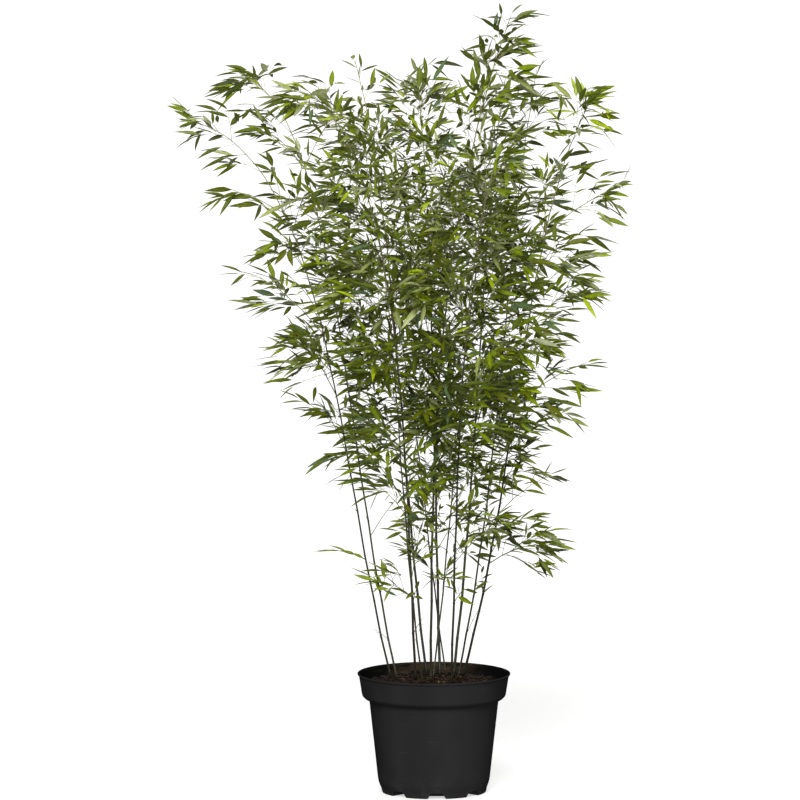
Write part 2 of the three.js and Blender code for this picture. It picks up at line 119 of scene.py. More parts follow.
# Drain channels under the pot, each a raised gutter that opens as a notch at the foot.
CHANNELS = 8
CHANNEL_HEIGHT = 11
CHANNEL_TOP_WIDTH = 23
CHANNEL_FOOT_WIDTH = 40
CHANNEL_START = 64
CHANNEL_TURN = 3

# Soil. Each row of its relief has how often the noise goes by in a millimetre, its level and its height.
SOIL_LEVEL = 218
SOIL_RINGS = 70
SOIL_SPOKES = 200
SOIL_EDGE_RADIUS = 140.7
SOIL_FOOT = 200
SOIL_FOOT_SHARE = 0.97
SOIL_RELIEF = [(0.018, 3.1, 2.7), (0.11, 7.7, 1.6), (0.31, 1.3, 0.8)]
SOIL_SUNK = 1.5
SOIL_HIGHEST = 3
EDGE_FROM = 105
EDGE_WIDTH = 35
EDGE_DROP = 5

# Bark chips, straws and moss on the soil: ranges of the sides, and the throw over which each kind comes.
CHIPS = 900
CHIP_SEED = 31
CHIP_SPREAD = 136
CHIP_LIMIT = 139
CHIP_SIZE = ((5, 17), (3, 8), (1.5, 4))
MOSS_SIZE = ((5, 10), (4, 8), (2, 3.5))
STRAW_LENGTH = (14, 30)
STRAW_SECTION = (1.2, 1.0)
STRAW_OVER = 0.94
BROWN_OVER = 0.8
MOSS_OVER = 0.72
CHIP_TILT = 0.35  # radians
CHIP_LIFT = 0.25
CHIP_HIGHEST = 2
CHIP_CREASE = 25
CHIP_CORNERS = ((0.6, 1.0), (0.5, 1.0), (0.6, 1.0))
CHIP_SIGNS = [(a, b, c) for a in (-1, 1) for b in (-1, 1) for c in (-1, 1)]
CHIP_FACES = [(0, 1, 3, 2), (4, 6, 7, 5), (0, 4, 5, 1), (2, 3, 7, 6), (0, 2, 6, 4), (1, 5, 7, 3)]

# Stems, as the source has them: foot, lean, arch, height, radius and droop of each.
GAP = 0.3
STEM_ROWS = [
    ((-84, 34), (-112, 0), (-268, -60), 1322, 2.1, 0.26),
    ((-72, 14), (-112, 20), (-196, 90), 1400, 2.1, 0.3),
    ((-36, 20), (-22, -80), (-196, -150), 1408, 2.6, 0.22),
    ((-14, 72), (-55, 40), (-85, 60), 1425, 2.6, 0.06),
    ((-22, -40), (-50, -70), (-50, -110), 1160, 1.8, 0.2),
    ((-6, -14), (2, -30), (152, -70), 1540, 2.7, 0),
    ((12, 64), (-12, 80), (-34, 140), 1392, 2.8, 0.1),
    ((-2, 36), (56, 95), (110, 120), 1265, 1.7, 0.2),
    ((24, 84), (-60, 90), (-170, 105), 1180, 1.6, 0.22),
    ((34, -42), (12, -90), (95, -150), 1330, 2.4, 0.14),
    ((38, 46), (50, -10), (50, -30), 1405, 2.8, 0.05),
    ((46, 14), (90, 10), (66, 66), 1415, 2.0, 0.05),
    ((58, 74), (110, -60), (132, -80), 1362, 2.5, 0.1),
]
STEMS = [dict(zip(("foot", "lean", "arch", "height", "radius", "droop"), row)) for row in STEM_ROWS]
STEM_STEPS = 7
STEM_END = 0.78
STEM_TIP_RADIUS = 0.7
RUN_STEP = 0.005
SLOPE_STEP = 0.01

# Cane rings, and the swelling at a node: offset from it and share of the cane's radius.
CANE_SIDES = 14
CANE_POINTS = 400
RING_STEP = 14
RING_ROOM = 4
FOOT_SWELL = 1.12
TIP_SWELL = 0.9
NODE_RING = (
    (-5, 1.0), (-2.2, 1.02), (-1.2, 1.2), (-0.4, 1.24), (0.3, 1.02), (1.1, 1.14), (2.4, 1.05), (5, 1.0),
)
TIP_NODE_SHARE = 0.6
NODE_STRIDE = 97
FIRST_NODE = (14, 30)
LAST_NODE = 30
NODE_STEP = (46, 96)
NODE_SPREAD = (0.88, 1.12)
NODE_SHIFT = 0.12
NODE_POWER = 0.7
ZIGZAG = 0.7
ZIGZAG_FROM = 60

# Buds and bare twigs at some of the nodes, from a little above the soil up to the leaves.
BARE_FROM = 60
BARE_UP_TO = 760
BARE_UNDER = 0.55
BUD_OVER = 0.2
BARE_ANGLE = (22, 40)
BARE_LENGTH = (40, 80)
BARE_RADII = (0.62, 0.55, 0.45, 0.3)
BARE_SIDES = 6
BARE_FORKS = ((0.45, 0), (0.75, math.pi))
FORK_ANGLE = 38
FORK_SHARE = 0.35
FORK_RADII = (0.4, 0.35, 0.3, 0.2)
BUD_LENGTH = (5, 12)
BUD_PLACES = np.array([[0], [0.6], [1]])
BUD_RADII = (0.9, 0.8, 0.15)
NODE_AHEAD = 6

# Crown outline from the front: height, reach to the left and reach to the right of the pot's axis.
CROWN = np.array([
    (400, 150, 205), (480, 290, 285), (600, 225, 250), (700, 250, 285),
    (800, 320, 345), (900, 365, 325), (1000, 405, 335), (1100, 460, 355),
    (1200, 440, 390), (1300, 510, 350), (1370, 533, 365), (1430, 400, 330),
    (1465, 200, 220), (1580, 60, 220),
], float)
CROWN_DEPTH = 0.86

# Where the crown is full of leaves, as the photograph shows it: height, reach to the left and to the right.
# Beyond that its sprays stand apart. The share of twigs kept goes by distance, with 1 at that reach.
FULL = np.array([
    (430, 50, 60), (540, 65, 110), (620, 120, 125), (675, 160, 170),
    (775, 190, 205), (870, 230, 235), (970, 240, 255), (1070, 285, 290),
    (1170, 245, 225), (1270, 180, 145), (1366, 240, 155), (1445, 120, 150),
    (1580, 60, 220),
], float)
KEPT_BY_DISTANCE = [(0.7, 0.62), (1, 0.34), (1.3, 0.15), (1.8, 0.07)]
LEAST_KEPT = {"top": 0.36, "outlying": 0.45, "side": 0.0, "fine": 0.0}

# Places that the photograph shows more open than that, or more lush: how far to the right of the pot's axis,
# how high as seen from the front, half the width and height there, and what the share of twigs is
# multiplied by. Where the share comes to more than 1, several twigs grow from one place.
OPEN_OR_LUSH = [
    (-400, 1215, 75, 60, 0.25), (-409, 1370, 60, 45, 0.15), (-311, 1140, 50, 40, 0.4),
    (-311, 1190, 50, 25, 0.5), (-311, 1347, 50, 25, 0.15), (-311, 1400, 50, 25, 4.0),
    (-311, 960, 50, 30, 5.0), (-409, 1288, 50, 25, 1.2), (-409, 1130, 50, 25, 2.5),
    (-311, 1270, 60, 70, 1.3), (-311, 1010, 60, 60, 0.7), (-311, 820, 50, 45, 0.4),
    (-213, 1000, 50, 60, 0.55), (-213, 1050, 50, 60, 0.6), (-213, 822, 50, 36, 4.0),
    (-213, 880, 50, 22, 0.35), (-213, 960, 50, 40, 0.7), (-311, 892, 60, 50, 0.5),
    (-213, 734, 50, 36, 0.8), (-213, 640, 60, 75, 0.2), (-213, 1360, 55, 55, 2.2),
    (-100, 1390, 45, 50, 0.25), (-115, 1250, 50, 60, 1.8), (-115, 980, 55, 50, 1.4),
    (-115, 680, 55, 50, 1.4), (-110, 500, 60, 40, 0.1), (-110, 555, 60, 25, 0.3),
    (-18, 1340, 55, 25, 5.0), (-18, 1290, 55, 26, 2.4), (-18, 1385, 50, 20, 0.6),
    (-18, 1430, 50, 20, 0.25), (-18, 1200, 60, 40, 0.6), (-10, 500, 60, 30, 0.5),
    (-10, 445, 60, 35, 5.0), (-92, 440, 31, 34, 3.0), (70, 1450, 50, 60, 1.4),
    (80, 770, 50, 40, 2.0), (190, 1445, 45, 40, 0.2), (120, 1530, 60, 40, 2.4),
    (80, 1500, 50, 40, 1.3), (178, 1240, 50, 25, 0.3), (80, 590, 55, 60, 0.8),
    (185, 1410, 55, 60, 0.5), (185, 1190, 55, 50, 0.4), (185, 1110, 55, 40, 0.4),
    (178, 740, 55, 45, 0.6), (150, 480, 70, 45, 2.4), (276, 1385, 60, 60, 2.2),
    (276, 1180, 50, 50, 1.3), (276, 1060, 60, 45, 0.6), (276, 960, 50, 40, 3.0),
    (276, 850, 60, 60, 0.3), (374, 1190, 50, 50, 0.7), (276, 1310, 50, 50, 1.6),
    (276, 1245, 50, 30, 0.25), (276, 1100, 50, 40, 0.4), (-18, 690, 50, 50, 2.6),
    (-213, 1130, 55, 40, 0.7),
]
BARE_BELOW = 0.05
MOST_TWIGS = 5
EXTRA_TURN = 2.1  # radians

# Branches, by the source's rule: each next one goes where the crown is emptiest. The source stops at
# its side sprays, and here the rule goes on with finer branches.
BRANCH_ANGLE = 36
BRANCH_SAG = 0.22
BRANCH_LENGTH = (110, 230)
FINE_LENGTH = (60, 150)
OUTER_SHARE = 0.6
BRANCH_STEPS = 3
SIDE_SPRAYS = 26
FINE_BRANCHES = 190
SIDE_STARTS = (540, 1180)
FINE_STARTS = (380, 1420)
START_STEP = 40
DIRECTIONS = 10
END_ROOM = 0.35
STEM_ROOM = 9
TESTED_PLACES = 9
MEASURED_AT = (0.3, 0.65, 1)
FAR = 1e9
PROBE_STEP = 10
BEND_STEP = 0.04

# Outlying sprays: the stem that each grows from, its height there, azimuth, length and angle.
OUTLYING_SPRAYS = {
    "spray_low_left": (0, 450, 186, 75, 58),
    "spray_low_middle": (2, 385, 200, 60, 44),
    "spray_low_right": (12, 440, -8, 105, 48),
    "spray_left_plume": (1, 1080, 183, 250, 44),
    "spray_right_plume": (12, 1100, 2, 215, 40),
    "spray_right_shelf": (12, 760, 8, 190, 44),
}

# Twigs along a branch. The spray at the very top is lusher, and one low spray has leaves at its end alone.
LUSH_SPRAY = "spray_top_06"
LUSH_SPARE = 45
LUSH_TWIGS = 2.0
TOP_TWIGS = 1.35
LONE_SPRAY = "spray_low_left"
FEWEST_TWIGS = 3
TWIG_PITCH = 9
TWIG_TURN = 137.5
TWIG_ANGLE = (28, 50)
TWIG_LENGTH = (48, 108)
TWIG_SAG = 0.16
TWIG_STEPS = 4
TWIG_FROM = 0.2
TOP_TWIG_FROM = 0.02
TWIG_UP_TO = 0.97
END_TWIG_SIZE = 0.6
FINE_TWIG_SIZE = 0.8
PLANE_SPREAD = 0.5  # radians
TURN_SPREAD = 0.4  # radians
TWIG_TRIES = (1, 0.7, 0.45)
TWIG_ROOM = 18
TWIG_SPARE = 6
TWIG_LEAVES = (2, 4.4)
FORKED_FROM = 42
SIDE_TWIG_PLACES = (0.38, 0.66)
SIDE_TWIG_TURN = 0.5  # radians
SIDE_TWIG_ANGLE = (32, 50)
SIDE_TWIG_SIZE = (0.35, 0.55)
SIDE_TWIG_LEAVES = (1.4, 3.5)
BRANCH_RADII = (1.15, 0.6)
FINE_RADII = (0.85, 0.5)
TWIG_RADII = (0.55, 0.3)
SIDE_TWIG_RADII = (0.38, 0.26)
TWIG_SIDES = 5

# Leaves. A fan is the leaves at a twig's end, and a branch's own end has a fan of a count and a pitch.
FAN_PITCH = 0.27
FAN_PLANE = 0.9  # radians
FAN_TURN = 0.7  # radians
FAN_SHRINK = 0.06
FAN_BEND_AT = 0.95
END_FAN = (5, 16)
LUSH_END_FAN = (8, 26)
END_LEAF_ANGLE = (2, 14)
END_LEAF_SIZE = (0.85, 1.05)
LEAF_ANGLE = (24, 66)
LEAF_LENGTH = (34, 60)
LEAF_WIDTH = (0.155, 0.215)
LEAF_SIZE = (1.2, 0.66)
LEAF_LIFT = 0.85
LEAF_FALL = (-0.35, 0.4)
LEAF_ROLL = 1.05  # radians
LEAF_NOD = (0.0, 0.2)
LEAF_BOW = (-0.1, 0.1)
LEAF_FOLD = (0.12, 0.4)
LEAF_TWIST = (-0.6, 0.6)  # radians
LEAF_ROOM = 9
MIDDLE_SPARE = 6
TIP_SPARE = 22
OUTWARD = 0.5
SMALL_LEAVES_BELOW = (1250, 1400)
TOP_SHADE = 0.2
BOX_SPARE = 0.02
TOP_SPARE = 4
STEEP = 0.95
NEAR_NONE = 1e-6
NEIGHBOURS = [(a, b, c) for a in (-1, 0, 1) for b in (-1, 0, 1) for c in (-1, 0, 1)]

# One leaf's outline: place along it, and width there as a share of its widest. Its tip comes last.
LEAF_OUTLINE = np.array([
    (0, 0.08), (0.05, 0.12), (0.15, 0.58), (0.33, 1.0), (0.53, 0.94), (0.73, 0.64), (0.88, 0.3),
])
ACROSS_LEAF = [0.0, 0.5, 1.0, 0.5]
LEAF_THICKNESS = 0.35
LEAF_CREASE = 22

# Random numbers.
SEED = 4177
BRANCH_STRIDE = 7919
TWIG_STRIDE = 104729
DICE_FACTOR = 16807
DICE_LIMIT = 2147483647

# Leaf looks, in the order of their material slots: share of the sprays, colour, darker colour, roughness
# and specular. Colours go from 0 to 255 as on a screen. A spray takes its look by its place in the crown.
LEAF_LOOKS = {
    "mid": (0.33, (114, 131, 14), (90, 104, 9), 0.45, 0.15),
    "olive": (0.24, (90, 98, 8), (69, 75, 5), 0.45, 0.15),
    "deep": (0.13, (53, 61, 8), (38, 44, 6), 0.5, 0.15),
    # The grey look is partly the leaves' own grey-green and partly a painted highlight of glossy leaves.
    "grey": (0.1, (120, 126, 80), (96, 102, 58), 0.4, 0.4),
    # The lime look is painted light: leaves that glow yellow-green as if lit through from behind.
    "lime": (0.04, (156, 172, 18), (130, 146, 12), 0.42, 0.2),
    # This look is a painted highlight: pale leaves that stand in for glints on glossy leaves.
    "painted_sheen": (0.1, (142, 150, 84), (114, 122, 60), 0.4, 0.4),
    "blue": (0.06, (84, 104, 68), (64, 80, 48), 0.42, 0.4),
}
LOOKS = list(LEAF_LOOKS)
UNDERSIDE = ((106, 120, 42), (88, 100, 30), 0.6, 0.15)
# At the crown's upper right more sprays take the lime look, painted backlight; low down none do.
BACKLIT_FROM = 220
BACKLIT_HEIGHTS = (1250, 1450)
BACKLIT_SHARE = 1
# Near the top more sprays take the grey look, partly as a painted highlight there.
GREY_FROM = 1150
GREY_SHARE = 0.25
NO_BACKLIGHT_BELOW = 650

# Other looks: colour, darker colour and, for a cane, its bloom.
CANE_LOOKS = {
    "cane_dark": ((44, 47, 29), (26, 29, 19), (74, 76, 56)),
    "cane_olive": ((66, 68, 36), (41, 43, 23), (96, 97, 68)),
    "cane_brown": ((58, 51, 33), (36, 31, 22), (88, 83, 62)),
}
TWIG_LOOK = ((132, 142, 74), (102, 114, 54), (152, 156, 112))
# Canes and twigs darken towards their foot: painted shade under the crown and in the pot.
CANE_FOOT_SHADE = (24, 22, 13)
YOUNG_CANE = (156, 150, 112)
POT_OUTER = ((33, 33, 34), (37, 37, 38), 0.0)
# The pot's inner wall: colours darker than the outside's as painted shade inside the rim, and a share of
# paler brown patches in a band across its middle.
POT_INNER_PAINTED_SHADE = ((13, 12, 12), (17, 16, 15), 0.75)
# Paler brown for patches on the pot's inner wall, only in a band across the middle of x.
BAND_PATCH_COLOUR = (74, 62, 46)
SCUFF = (78, 78, 78)
DUST = (96, 88, 78)
SOIL_STOPS = [(0.3, (6, 4, 2)), (0.52, (17, 10, 6)), (0.7, (34, 20, 11))]
SOIL_MOSS = (23, 23, 11)
# Dark colours for the soil and the chips near the pot's wall: painted shade of the wall and rim.
SOIL_WALL_SHADE = (7, 5, 4)
CHIP_WALL_SHADE = (11, 7, 5)
CHIP_LOOKS = {
    "bark_red": ((42, 22, 12), (18, 10, 5)),
    "bark_brown": ((46, 34, 20), (20, 14, 9)),
    "straw": ((112, 96, 64), (66, 54, 34)),
    "moss": ((30, 31, 14), (17, 18, 8)),
}
FLOOR_COLOURS = ((176, 176, 175), (179, 179, 178))

# Patches of noise: stretch in each direction per metre, detail, the span that counts, and the most it gives.
LEAF_MOTTLE = ((90, 90, 90), 3, 0.35, 0.7, 1)
CANE_STREAKS = ((900, 900, 14), 5, 0.3, 0.7, 1)
CANE_BLOTCHES = ((60, 60, 9), 3, 0.45, 0.62, 0.55)
CANE_WAX = ((35, 35, 22), 3, 0.55, 0.75, 0.35)
POT_SINK = ((9, 9, 5), 2, 0.4, 0.62, 1)
POT_SCUFFS = ((14, 14, 420), 4, 0.63, 0.75, 0.16)
POT_DUST = ((42, 42, 60), 5, 0.5, 0.72, 0.18)
POT_BAND_PATCHES = ((30, 8, 90), 4, 0.35, 0.6)
MOSS_PATCHES = ((24, 24, 24), 3, 0.6, 0.7, 0.55)
FLOOR_PATCHES = ((60, 60, 60), 2, 0.3, 0.7, 1)

# Plain noise: stretch, detail and roughness of the noise.
NOISE_ROUGHNESS = 0.6
POT_GRAIN = ((1400, 1400, 1400), 2)
SOIL_CRUMBS = ((260, 260, 260), 6, 0.75)
CHIP_FIBRES = ((160, 520, 520), 5, 0.7)

# Spans: from and to, in metres where they go by place, and what they give at each end. The paler patches on
# the pot's inner wall fade in and out across x between four places.
# Painted shade on the canes' lower part, by height.
FOOT_SHADE_SPAN = (0.24, 0.6, 0.6, 0)
YOUNG_SPAN = (0.75, 1.35, 0, 0.8)
DUST_SPAN = (0.0, 0.05, 1, 0)
# Painted shade on the soil and chips, growing with distance from the pot's axis.
WALL_SHADE_SPAN = (0.06, 0.125, 0, 0.75)
FIBRE_SPAN = (0.35, 0.65, 0, 1)
BAND_EDGES = (-0.1, -0.04, 0.04, 0.1)

# Roughness at the two ends of a pattern, specular and coat, and relief: height and strength.
CANE_ROUGHNESS = (0.32, 0.5)
CANE_SHINE = (0.3, 0.05)
POT_ROUGHNESS = (0.46, 0.56)
SOIL_ROUGHNESS = 0.95
SOIL_SHINE = 0.05
CHIP_ROUGHNESS = 0.85
CHIP_SHINE = 0.08
FLOOR_ROUGHNESS = 0.75
LEAF_RELIEF = (0.12, 0.5)
CANE_RELIEF = (0.08, 0.6)
POT_RELIEF = (0.05, 0.5)
SOIL_BUMPS = (1.2, 0.9)
CHIP_RELIEF = (0.5, 0.8)

# A leaf's veins, and its midrib: place and half width across the leaf's width of 1, and how pale it is.
VEINS = {"Scale": 2.2, "Distortion": 0.3}
VEIN_SHARE = 0.16
MIDRIB = (0.5, 0.045)
MIDRIB_SHARE = 0.5
MIDRIB_GAIN = 1.5
MIDRIB_LIFT = 0.01


def unit(vector):
    return vector / math.sqrt(float(vector @ vector))


def mix(low, high, share):
    return low + (high - low) * share


def circle(radius, count):
    """Evenly spaced points of a level circle, as x and y."""
    turns = [FULL_TURN * k / count for k in range(count)]
    return [(radius * math.cos(turn), radius * math.sin(turn)) for turn in turns]


class Dice:
    """Even random numbers that come in the same order each time for one seed."""

    def __init__(self, seed):
        self.state = seed

    def roll(self, low, high):
        self.state = (self.state * DICE_FACTOR) % DICE_LIMIT
        return mix(low, high, self.state / DICE_LIMIT)


# Stems and crown, by the source's rule.

def stem_point(stem, run):
    lean = 1 - (1 - run) ** 3
    arch = run ** 3
    rise = (1 + stem["droop"]) * run - stem["droop"] * run ** 4
    return np.array([
        stem["foot"][0] + stem["lean"][0] * lean + stem["arch"][0] * arch,
        stem["foot"][1] + stem["lean"][1] * lean + stem["arch"][1] * arch,
        SOIL_LEVEL + GAP + (stem["height"] - SOIL_LEVEL) * rise,
    ])


def stem_direction(stem, run):
    return unit(stem_point(stem, run + SLOPE_STEP) - stem_point(stem, run - SLOPE_STEP))


def run_at_height(stem, height):
    run = 0.0
    while run < 1 and stem_point(stem, run)[2] < height:
        run += RUN_STEP
    return run


def stem_path(stem):
    return np.array([stem_point(stem, STEM_END * k / STEM_STEPS) for k in range(STEM_STEPS + 1)])


def reach_of(outline, height):
    """An outline's reach to the left and to the right at a height."""
    return (float(np.interp(height, outline[:, 0], outline[:, side])) for side in (1, 2))


def share_of_reach(outline, point, spare=0.0):
    """How far out a point lies in an outline, as a share of its reach there."""
    left, right = reach_of(outline, point[2])
    side = left if point[0] < 0 else right
    return math.hypot(point[0] / (side + spare), point[1] / ((left + right) / 2 * CROWN_DEPTH + spare))


def in_crown(point, spare=0.0):
    return share_of_reach(CROWN, point, spare) <= 1 and CROWN[0, 0] - spare < point[2] < CROWN[-1, 0]


def kept_share(point, least):
    """The share of twigs that grow at a point: most in the full part of the crown, and few beyond it."""
    distance = share_of_reach(FULL, point)
    kept = max(float(np.interp(distance, *zip(*KEPT_BY_DISTANCE))), least)
    seen_height = point[2] + point[1] * math.tan(math.radians(CAMERA_ELEVATION))
    for right_of, high, half_width, half_height, change in OPEN_OR_LUSH:
        if abs(point[0] - right_of) < half_width and abs(seen_height - high) < half_height:
            kept *= change
    return kept


def room_ahead(point, direction):
    probe = point.copy()
    room = 0
    while in_crown(probe):
        probe = probe + direction * PROBE_STEP
        room += PROBE_STEP
    return room


def branch_path(stem, height, azimuth, angle, lengths):
    """A branch that leaves a stem at a height, and reaches through most of the room ahead of it."""
    run = run_at_height(stem, height)
    start = stem_point(stem, run)
    turn, lean = math.radians(azimuth), math.radians(angle)
    out = np.array([math.cos(turn), math.sin(turn), 0.0])
    direction = unit(stem_direction(stem, run) * math.cos(lean) + out * math.sin(lean))
    reach = min(max(room_ahead(start, direction) * OUTER_SHARE, lengths[0]), lengths[1])
    shares = np.linspace(0, 1, BRANCH_STEPS + 1)[:, None]
    path = start + direction * reach * shares
    path[:, 2] -= (BRANCH_SAG * reach * shares * shares)[:, 0]
    return path


def point_on(path, share):
    place_now = share * (len(path) - 1)
    k = min(int(place_now), len(path) - 2)
    return mix(path[k], path[k + 1], place_now - k)


def direction_on(path, share):
    return unit(point_on(path, share + BEND_STEP) - point_on(path, share - BEND_STEP))


def distances(points, path):
    """The distance from each of a row of points to the nearest place on a path."""
    start = path[:-1][None]
    step = (path[1:] - path[:-1])[None]
    offset = points[:, None] - start
    share = np.clip((offset * step).sum(2) / (step * step).sum(2), 0, 1)
    return np.linalg.norm(offset - step * share[..., None], axis=2).min(1)


def possible_branches(starts, lengths):
    """Every branch that could leave a stem, stay in the crown and pass the other stems."""
    ways = []
    paths = [stem_path(stem) for stem in STEMS]
    for index, stem in enumerate(STEMS):
        others = [path for path in paths if path is not paths[index]]
        end = min(starts[1], stem_point(stem, STEM_END)[2] - START_STEP)
        for height in np.arange(starts[0], end, START_STEP):
            for k in range(DIRECTIONS):
                azimuth = 360 * (k + (index % 2) / 2) / DIRECTIONS
                way = branch_path(stem, height, azimuth, BRANCH_ANGLE, lengths)
                if not in_crown(point_on(way, 1 + END_ROOM)):
                    continue
                points = np.array([point_on(way, share) for share in np.linspace(0, 1, TESTED_PLACES)])
                if min(distances(points, other).min() for other in others) > STEM_ROOM:
                    ways.append(way)
    return ways


def room_left(room, measured, path):
    """The room of each way, once a path is taken."""
    return np.minimum(room, distances(measured.reshape(-1, 3), path).reshape(len(measured), -1).min(1))


def emptiest(ways, taken, count):
    """Branches chosen one by one, each where those before it leave the widest room."""
    measured = np.array([[point_on(way, share) for share in MEASURED_AT] for way in ways])
    room = np.full(len(ways), FAR)
    for path in taken:
        room = room_left(room, measured, path)
    chosen = []
    for _ in range(count):
        chosen.append(ways[int(room.argmax())])
        room = room_left(room, measured, chosen[-1])
    return chosen


def all_branches():
    branches = []
    for index, stem in enumerate(STEMS):
        runs = [mix(STEM_END, 1, k / BRANCH_STEPS) for k in range(BRANCH_STEPS + 1)]
        path = np.array([stem_point(stem, run) for run in runs])
        branches.append({"node": f"spray_top_{index + 1:02d}", "path": path, "kind": "top"})
    for node, (index, height, azimuth, length, angle) in OUTLYING_SPRAYS.items():
        path = branch_path(STEMS[index], height, azimuth, angle, (length, length))
        branches.append({"node": node, "path": path, "kind": "outlying"})
    taken = [branch["path"] for branch in branches]
    for k, path in enumerate(emptiest(possible_branches(SIDE_STARTS, BRANCH_LENGTH), taken, SIDE_SPRAYS)):
        branches.append({"node": f"spray_side_{k + 1:02d}", "path": path, "kind": "side"})
    sprays = list(branches)
    taken = [branch["path"] for branch in branches]
    for path in emptiest(possible_branches(FINE_STARTS, FINE_LENGTH), taken, FINE_BRANCHES):
        middle = path.mean(0)[None]
        nearest = min(sprays, key=lambda spray: distances(middle, spray["path"])[0])
        branches.append({"node": nearest["node"], "path": path, "kind": "fine"})
    return branches


# Growth of twigs and leaves.

def frame_of(along, roll=0.0):
    """Two directions square to one that is given, turned round it by a roll in radians."""
    level = np.array([0.0, 1.0, 0.0]) if abs(along[2]) > STEEP else UP
    side = unit(np.cross(level, along))
    face = np.cross(along, side)
    turned = side * math.cos(roll) + face * math.sin(roll)
    return turned, np.cross(along, turned)


def direction_beside(along, angle, turn):
    """A direction at an angle to another, turned round it. Both are in radians."""
    side, _ = frame_of(along, turn)
    return unit(along * math.cos(angle) + side * math.sin(angle))


class Foliage:
    """Every twig and leaf, with the node that each belongs to."""

    def __init__(self):
        self.twigs = []
        self.leaves = []
        self.cells = {}

    def has_room(self, point):
        a, b, c = (point // LEAF_ROOM).astype(int)
        near = (other for i, j, k in NEIGHBOURS for other in self.cells.get((a + i, b + j, c + k), ()))
        return all(np.abs(other - point).sum() >= LEAF_ROOM for other in near)

    def take_room(self, point):
        cell = tuple((point // LEAF_ROOM).astype(int))
        self.cells.setdefault(cell, []).append(point)

    def add_twig(self, path, radii, node):
        self.twigs.append({"path": path, "radii": radii, "node": node})


def inside_box(point):
    """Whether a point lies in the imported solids' box or only a little past it."""
    low, high = CAD_BOX
    for axis in (0, 1):
        spare = BOX_SPARE * (high[axis] - low[axis])
        if not low[axis] - spare < point[axis] * MM < high[axis] + spare:
            return False
    return point[2] * MM < high[2] + TOP_SPARE * MM


def grow_leaf(foliage, dice, root, direction, node, look, size):
    """One leaf, if there is room for it. It turns outward and falls, and is smaller deep in the crown."""
    out = unit(np.array([root[0], root[1], 0.0]) + NEAR_NONE)
    along = unit(direction * (1, 1, LEAF_LIFT) + out * OUTWARD - UP * dice.roll(*LEAF_FALL))
    depth = min(max(1 - share_of_reach(CROWN, root), 0), 1)
    shade = depth * float(np.interp(root[2], SMALL_LEAVES_BELOW, (1, TOP_SHADE)))
    length = dice.roll(*LEAF_LENGTH) * size * mix(*LEAF_SIZE, shade)
    along[2] = min(along[2], (CROWN[-1, 0] - LEAF_ROOM - root[2]) / length)
    tip = root + along * length
    middle = root + along * length * 0.5
    spare = LUSH_SPARE if node == LUSH_SPRAY else 0
    if not in_crown(middle, MIDDLE_SPARE + spare) or not in_crown(tip, TIP_SPARE + spare):
        return False
    if not inside_box(tip) or not foliage.has_room(middle):
        return False
    foliage.take_room(middle)
    side, face = frame_of(along, dice.roll(-LEAF_ROLL, LEAF_ROLL))
    foliage.leaves.append({
        "root": root, "along": along, "side": side, "face": face, "length": length,
        "half": length * dice.roll(*LEAF_WIDTH) / 2, "nod": dice.roll(*LEAF_NOD), "bow": dice.roll(*LEAF_BOW),
        "fold": dice.roll(*LEAF_FOLD), "twist": dice.roll(*LEAF_TWIST), "node": node, "look": look,
    })
    return True


def grow_fan(foliage, dice, path, node, look, count, pitch=FAN_PITCH):
    """Leaves along a twig's end: one that carries it on, and others that stand to either side of it."""
    grown = 0
    plane = dice.roll(-FAN_PLANE, FAN_PLANE)
    for k in range(count):
        share = 1 - pitch * k
        along = direction_on(path, min(share, FAN_BEND_AT))
        angle = math.radians(dice.roll(*(LEAF_ANGLE if k else END_LEAF_ANGLE)))
        turn = plane + math.pi * (k % 2) + dice.roll(-FAN_TURN, FAN_TURN)
        direction = direction_beside(along, angle, turn)
        size = 1 - FAN_SHRINK * k if k else dice.roll(*END_LEAF_SIZE)
        grown += grow_leaf(foliage, dice, point_on(path, share), direction, node, look, size)
    return grown


def twig_path(root, direction, length):
    shares = np.linspace(0, 1, TWIG_STEPS)[:, None]
    return root + direction * length * shares - UP * (TWIG_SAG * length) * shares * shares


def grow_twig(foliage, dice, root, direction, length, node, look):
    """One twig with its leaves and side twigs, shortened where it would leave the crown."""
    spare = LUSH_SPARE if node == LUSH_SPRAY else TWIG_SPARE
    for scale in TWIG_TRIES:
        path = twig_path(root, direction, length * scale)
        if in_crown(path[-1] + direction * TWIG_ROOM, spare) and inside_box(path[-1]):
            break
    else:
        return
    grown = grow_fan(foliage, dice, path, node, look, int(dice.roll(*TWIG_LEAVES)))
    if length * scale > FORKED_FROM:
        for order, share in enumerate(SIDE_TWIG_PLACES):
            turn = dice.roll(-SIDE_TWIG_TURN, SIDE_TWIG_TURN) + math.pi * order
            angle = math.radians(dice.roll(*SIDE_TWIG_ANGLE))
            beside = direction_beside(direction_on(path, share), angle, turn)
            side_path = twig_path(point_on(path, share), beside, length * scale * dice.roll(*SIDE_TWIG_SIZE))
            side_look = pick_look(dice, side_path[-1])
            count = int(dice.roll(*SIDE_TWIG_LEAVES))
            side_grown = grow_fan(foliage, dice, side_path, node, side_look, count)
            if side_grown:
                foliage.add_twig(side_path, SIDE_TWIG_RADII, node)
            grown += side_grown
    if grown:
        foliage.add_twig(path, TWIG_RADII, node)


